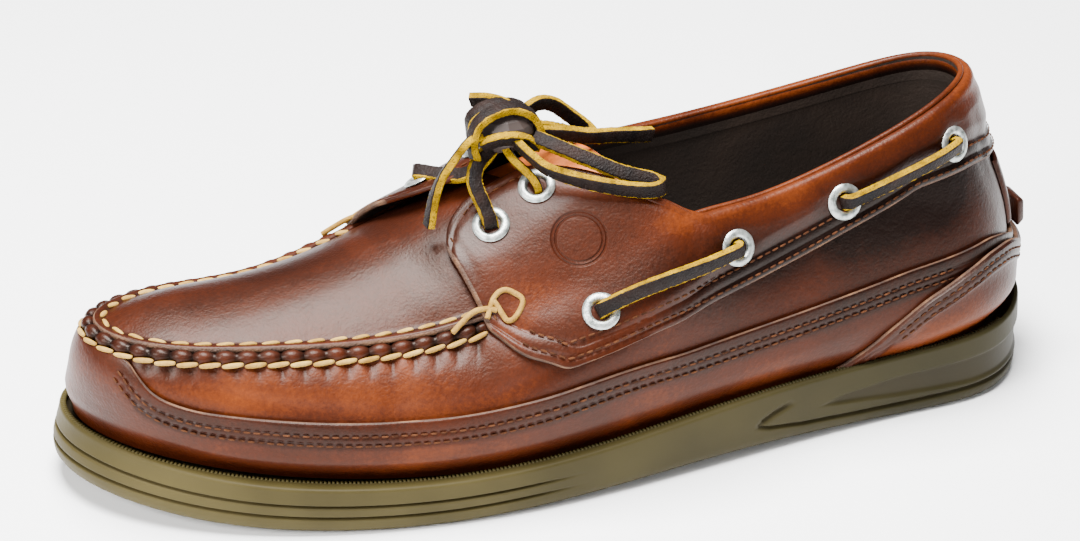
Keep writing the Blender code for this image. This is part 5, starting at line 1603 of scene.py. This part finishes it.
def stitch_shape(length, width, height, around=6, steps=5):
    """One stitch: a slim bead of thread that dips into the leather at both ends."""
    bead = bmesh.new()
    bmesh.ops.create_uvsphere(bead, u_segments=around, v_segments=steps, radius=0.5)
    bmesh.ops.rotate(bead, cent=(0, 0, 0), matrix=Matrix.Rotation(math.pi / 2.0, 3, "Y"), verts=bead.verts)
    for vertex in bead.verts:
        share = vertex.co.x * 2.0
        fuller = 1.0 / max(math.sqrt(max(1.0 - share * share, 0.0)), 0.35) ** 0.45
        dip = 0.25 * height * share**4
        vertex.co = Vector((vertex.co.x * length, vertex.co.y * fuller * width,
                            vertex.co.z * fuller * height - dip))
    return bead


def inset_line(place, share, inset, offset, on_band=False):
    """Line on the leather at a distance beside a line of places and shares, and its normals. The
    distance is measured in the leather, to the left of the line's run seen from outside."""
    lift, surface = (flap_lift(place), eased_skin) if on_band else (0.0, skin)
    edge, normal, up, speed = surface_frame(place, share, lift, surface)
    step = 0.02
    ahead = (surface(place + step, share, lift) - surface(place - step, share, lift)) / (2.0 * step)
    aside = np.cross(normal, unit(np.gradient(edge, axis=0))) * inset
    pace = np.sum(ahead * ahead, 1)
    skewed = np.sum(ahead * up, 1)
    first, second = np.sum(aside * ahead, 1), np.sum(aside * up, 1)
    along = (first - skewed * second) / (pace - skewed**2)
    rise = second - along * skewed
    new_place, new_share = place + along, share + rise / speed
    point, normal, _, _ = surface_frame(new_place, new_share, lift, surface)
    return point + normal * offset, normal


def edge_row(first, last, edge, inset, offset, on_band=False):
    """Line at a distance inside a panel's upper edge, or its lower one where inset is negative."""
    place = np.linspace(first, last, max(int(abs(last - first) * 60), 20))
    reach = -LEFT * math.copysign(abs(inset) + OVERLAY_THICKNESS / 2.0, inset)
    return inset_line(place, edge(place), reach, offset, on_band)


# 1 where the way up the leather lies to the left of a line's run, seen from outside
_, probe_face, probe_up, _ = surface_frame(np.array(4.0), np.array(0.5))
LEFT = math.copysign(1.0, np.dot(np.cross(probe_face, wall(4.05, 0.5) - wall(3.95, 0.5)), probe_up))

SURFACE = -SHELL_INSET + FIT_GAP + OVERLAY_THICKNESS
MACHINE_PITCH = 0.0027
MACHINE_STITCH = (0.0021, 0.00062, 0.00050)
GUARD_SPAN = (1.6, 7.13)
COUNTER_SPAN = (-2.15, 2.15)
BAND_SPAN = (-4.86, 4.86)
HEM_SPAN = (3.85, 4.84)
NOSE_SHARES = (1.00, 1.62)


def both_sides(span):
    return span, (SECTION_COUNT - span[1], SECTION_COUNT - span[0])


guard_curve = edge_curve(MUDGUARD_EDGE)
counter_curve = edge_curve(COUNTER_EDGE)
lines = [edge_row(*span, guard_curve, inset, SURFACE + 0.0002)
         for inset in GUARD_STITCHES for span in both_sides(GUARD_SPAN)]
lines += [edge_row(*COUNTER_SPAN, counter_curve, inset, SURFACE + OVERLAY_THICKNESS + FIT_GAP + 0.0004)
          for inset in COUNTER_STITCHES]
lines += [edge_row(*BAND_SPAN, lambda at: band_edges(at)[0], -inset, SURFACE + FIT_GAP + 0.0003, True)
          for inset in BAND_STITCHES]
lines += [edge_row(*span, lambda at: band_edges(at)[1], HEM_STITCH, SURFACE + FIT_GAP + 0.0001, True)
          for span in both_sides(HEM_SPAN)]
lines += [inset_line(side_sign * np.full(40, BAND_FRONT), np.linspace(*NOSE_SHARES, 40),
                     LEFT * side_sign * NOSE_INSET, SURFACE + FIT_GAP, True) for side_sign in (1.0, -1.0)]
machine = [placement for line in lines for placement in stitch_frames(*line, MACHINE_PITCH)]
row_of_copies("machine_stitches", stitch_shape(*MACHINE_STITCH), machine, brown_thread)


def build_seam_stitches():
    """Heavy stitches outside, each from one bead to the next, and the row on the plug."""
    place = np.linspace(SEAM_PLACE, SECTION_COUNT - SEAM_PLACE, 500)
    away = horizontal(outward(top_edge, place, TURN_SIGN))
    point = top_edge(place) + away * 0.0014 - UPWARD * 0.0012
    outside = stitch_frames(point, away + UPWARD * 0.35, BEAD_STEP, math.radians(7.0))
    heavy = stitch_shape(BEAD_STEP, 0.0015, 0.0015, around=8, steps=8)
    row_of_copies("seam_stitches", heavy, outside, cream_thread)
    place = SEAM_PLACES
    _, _, _, speed = surface_frame(place, np.full(len(place), 1.05))
    share = 1.0 + (PLUG_EDGE + PLUG_STITCH) / speed
    point, normal, up, _ = surface_frame(place, share)
    line = point + normal * (-SHELL_INSET + 0.0002)
    frames = stitch_frames(line, normal * 0.6 + up, BEAD_STEP, math.radians(-9.0))
    fine = stitch_shape(BEAD_STEP * 0.92, 0.0018, 0.0013, around=8, steps=8)
    row_of_copies("plug_stitches", fine, frames, cream_thread)


# Heavy thread tacked round the seam's end over the flap's corner: place and share of its corners
TACK_LOOP = ((4.985, 1.035), (4.945, 1.100), (4.918, 1.130), (4.885, 1.148), (4.850, 1.142), (4.822, 1.105),
             (4.803, 1.068), (4.806, 1.035), (4.835, 1.000), (4.870, 0.972), (4.900, 0.978), (4.912, 1.020),
             (4.920, 1.080), (4.926, 1.125))
TACK_LEAD = ((5.16, 1.020), (5.10, 1.065), (5.03, 1.100), (4.97, 1.090), (4.93, 1.060))
THREAD_RADIUS = 0.00080


def build_tack_thread():
    for side_name, kind, corners in (("outer", "loop", TACK_LOOP), ("outer", "lead", TACK_LEAD),
                                     ("inner", "loop", TACK_LOOP), ("inner", "lead", TACK_LEAD)):
        place, share = np.array(corners).T
        place = on_side(side_name, place)
        point, normal, _, _ = surface_frame(place, share, flap_lift(place), eased_skin)
        rows = smooth_line(np.concatenate([point + normal * 0.0016, normal], 1), 0.0005)
        along = unit(np.gradient(rows[:, :3], axis=0))
        side = unit(np.cross(along, rows[:, 3:]))
        rise = np.cross(side, along)
        turns = np.linspace(0.0, math.tau, 11)
        loop = (rows[:, None, :3] + THREAD_RADIUS * (side[:, None] * np.cos(turns)[None, :, None]
                                                     + rise[:, None] * np.sin(turns)[None, :, None]))
        thread = swept_piece(f"tack_{kind}_{side_name}", loop, [cream_thread], cap=True)


build_seam_stitches()
build_tack_thread()
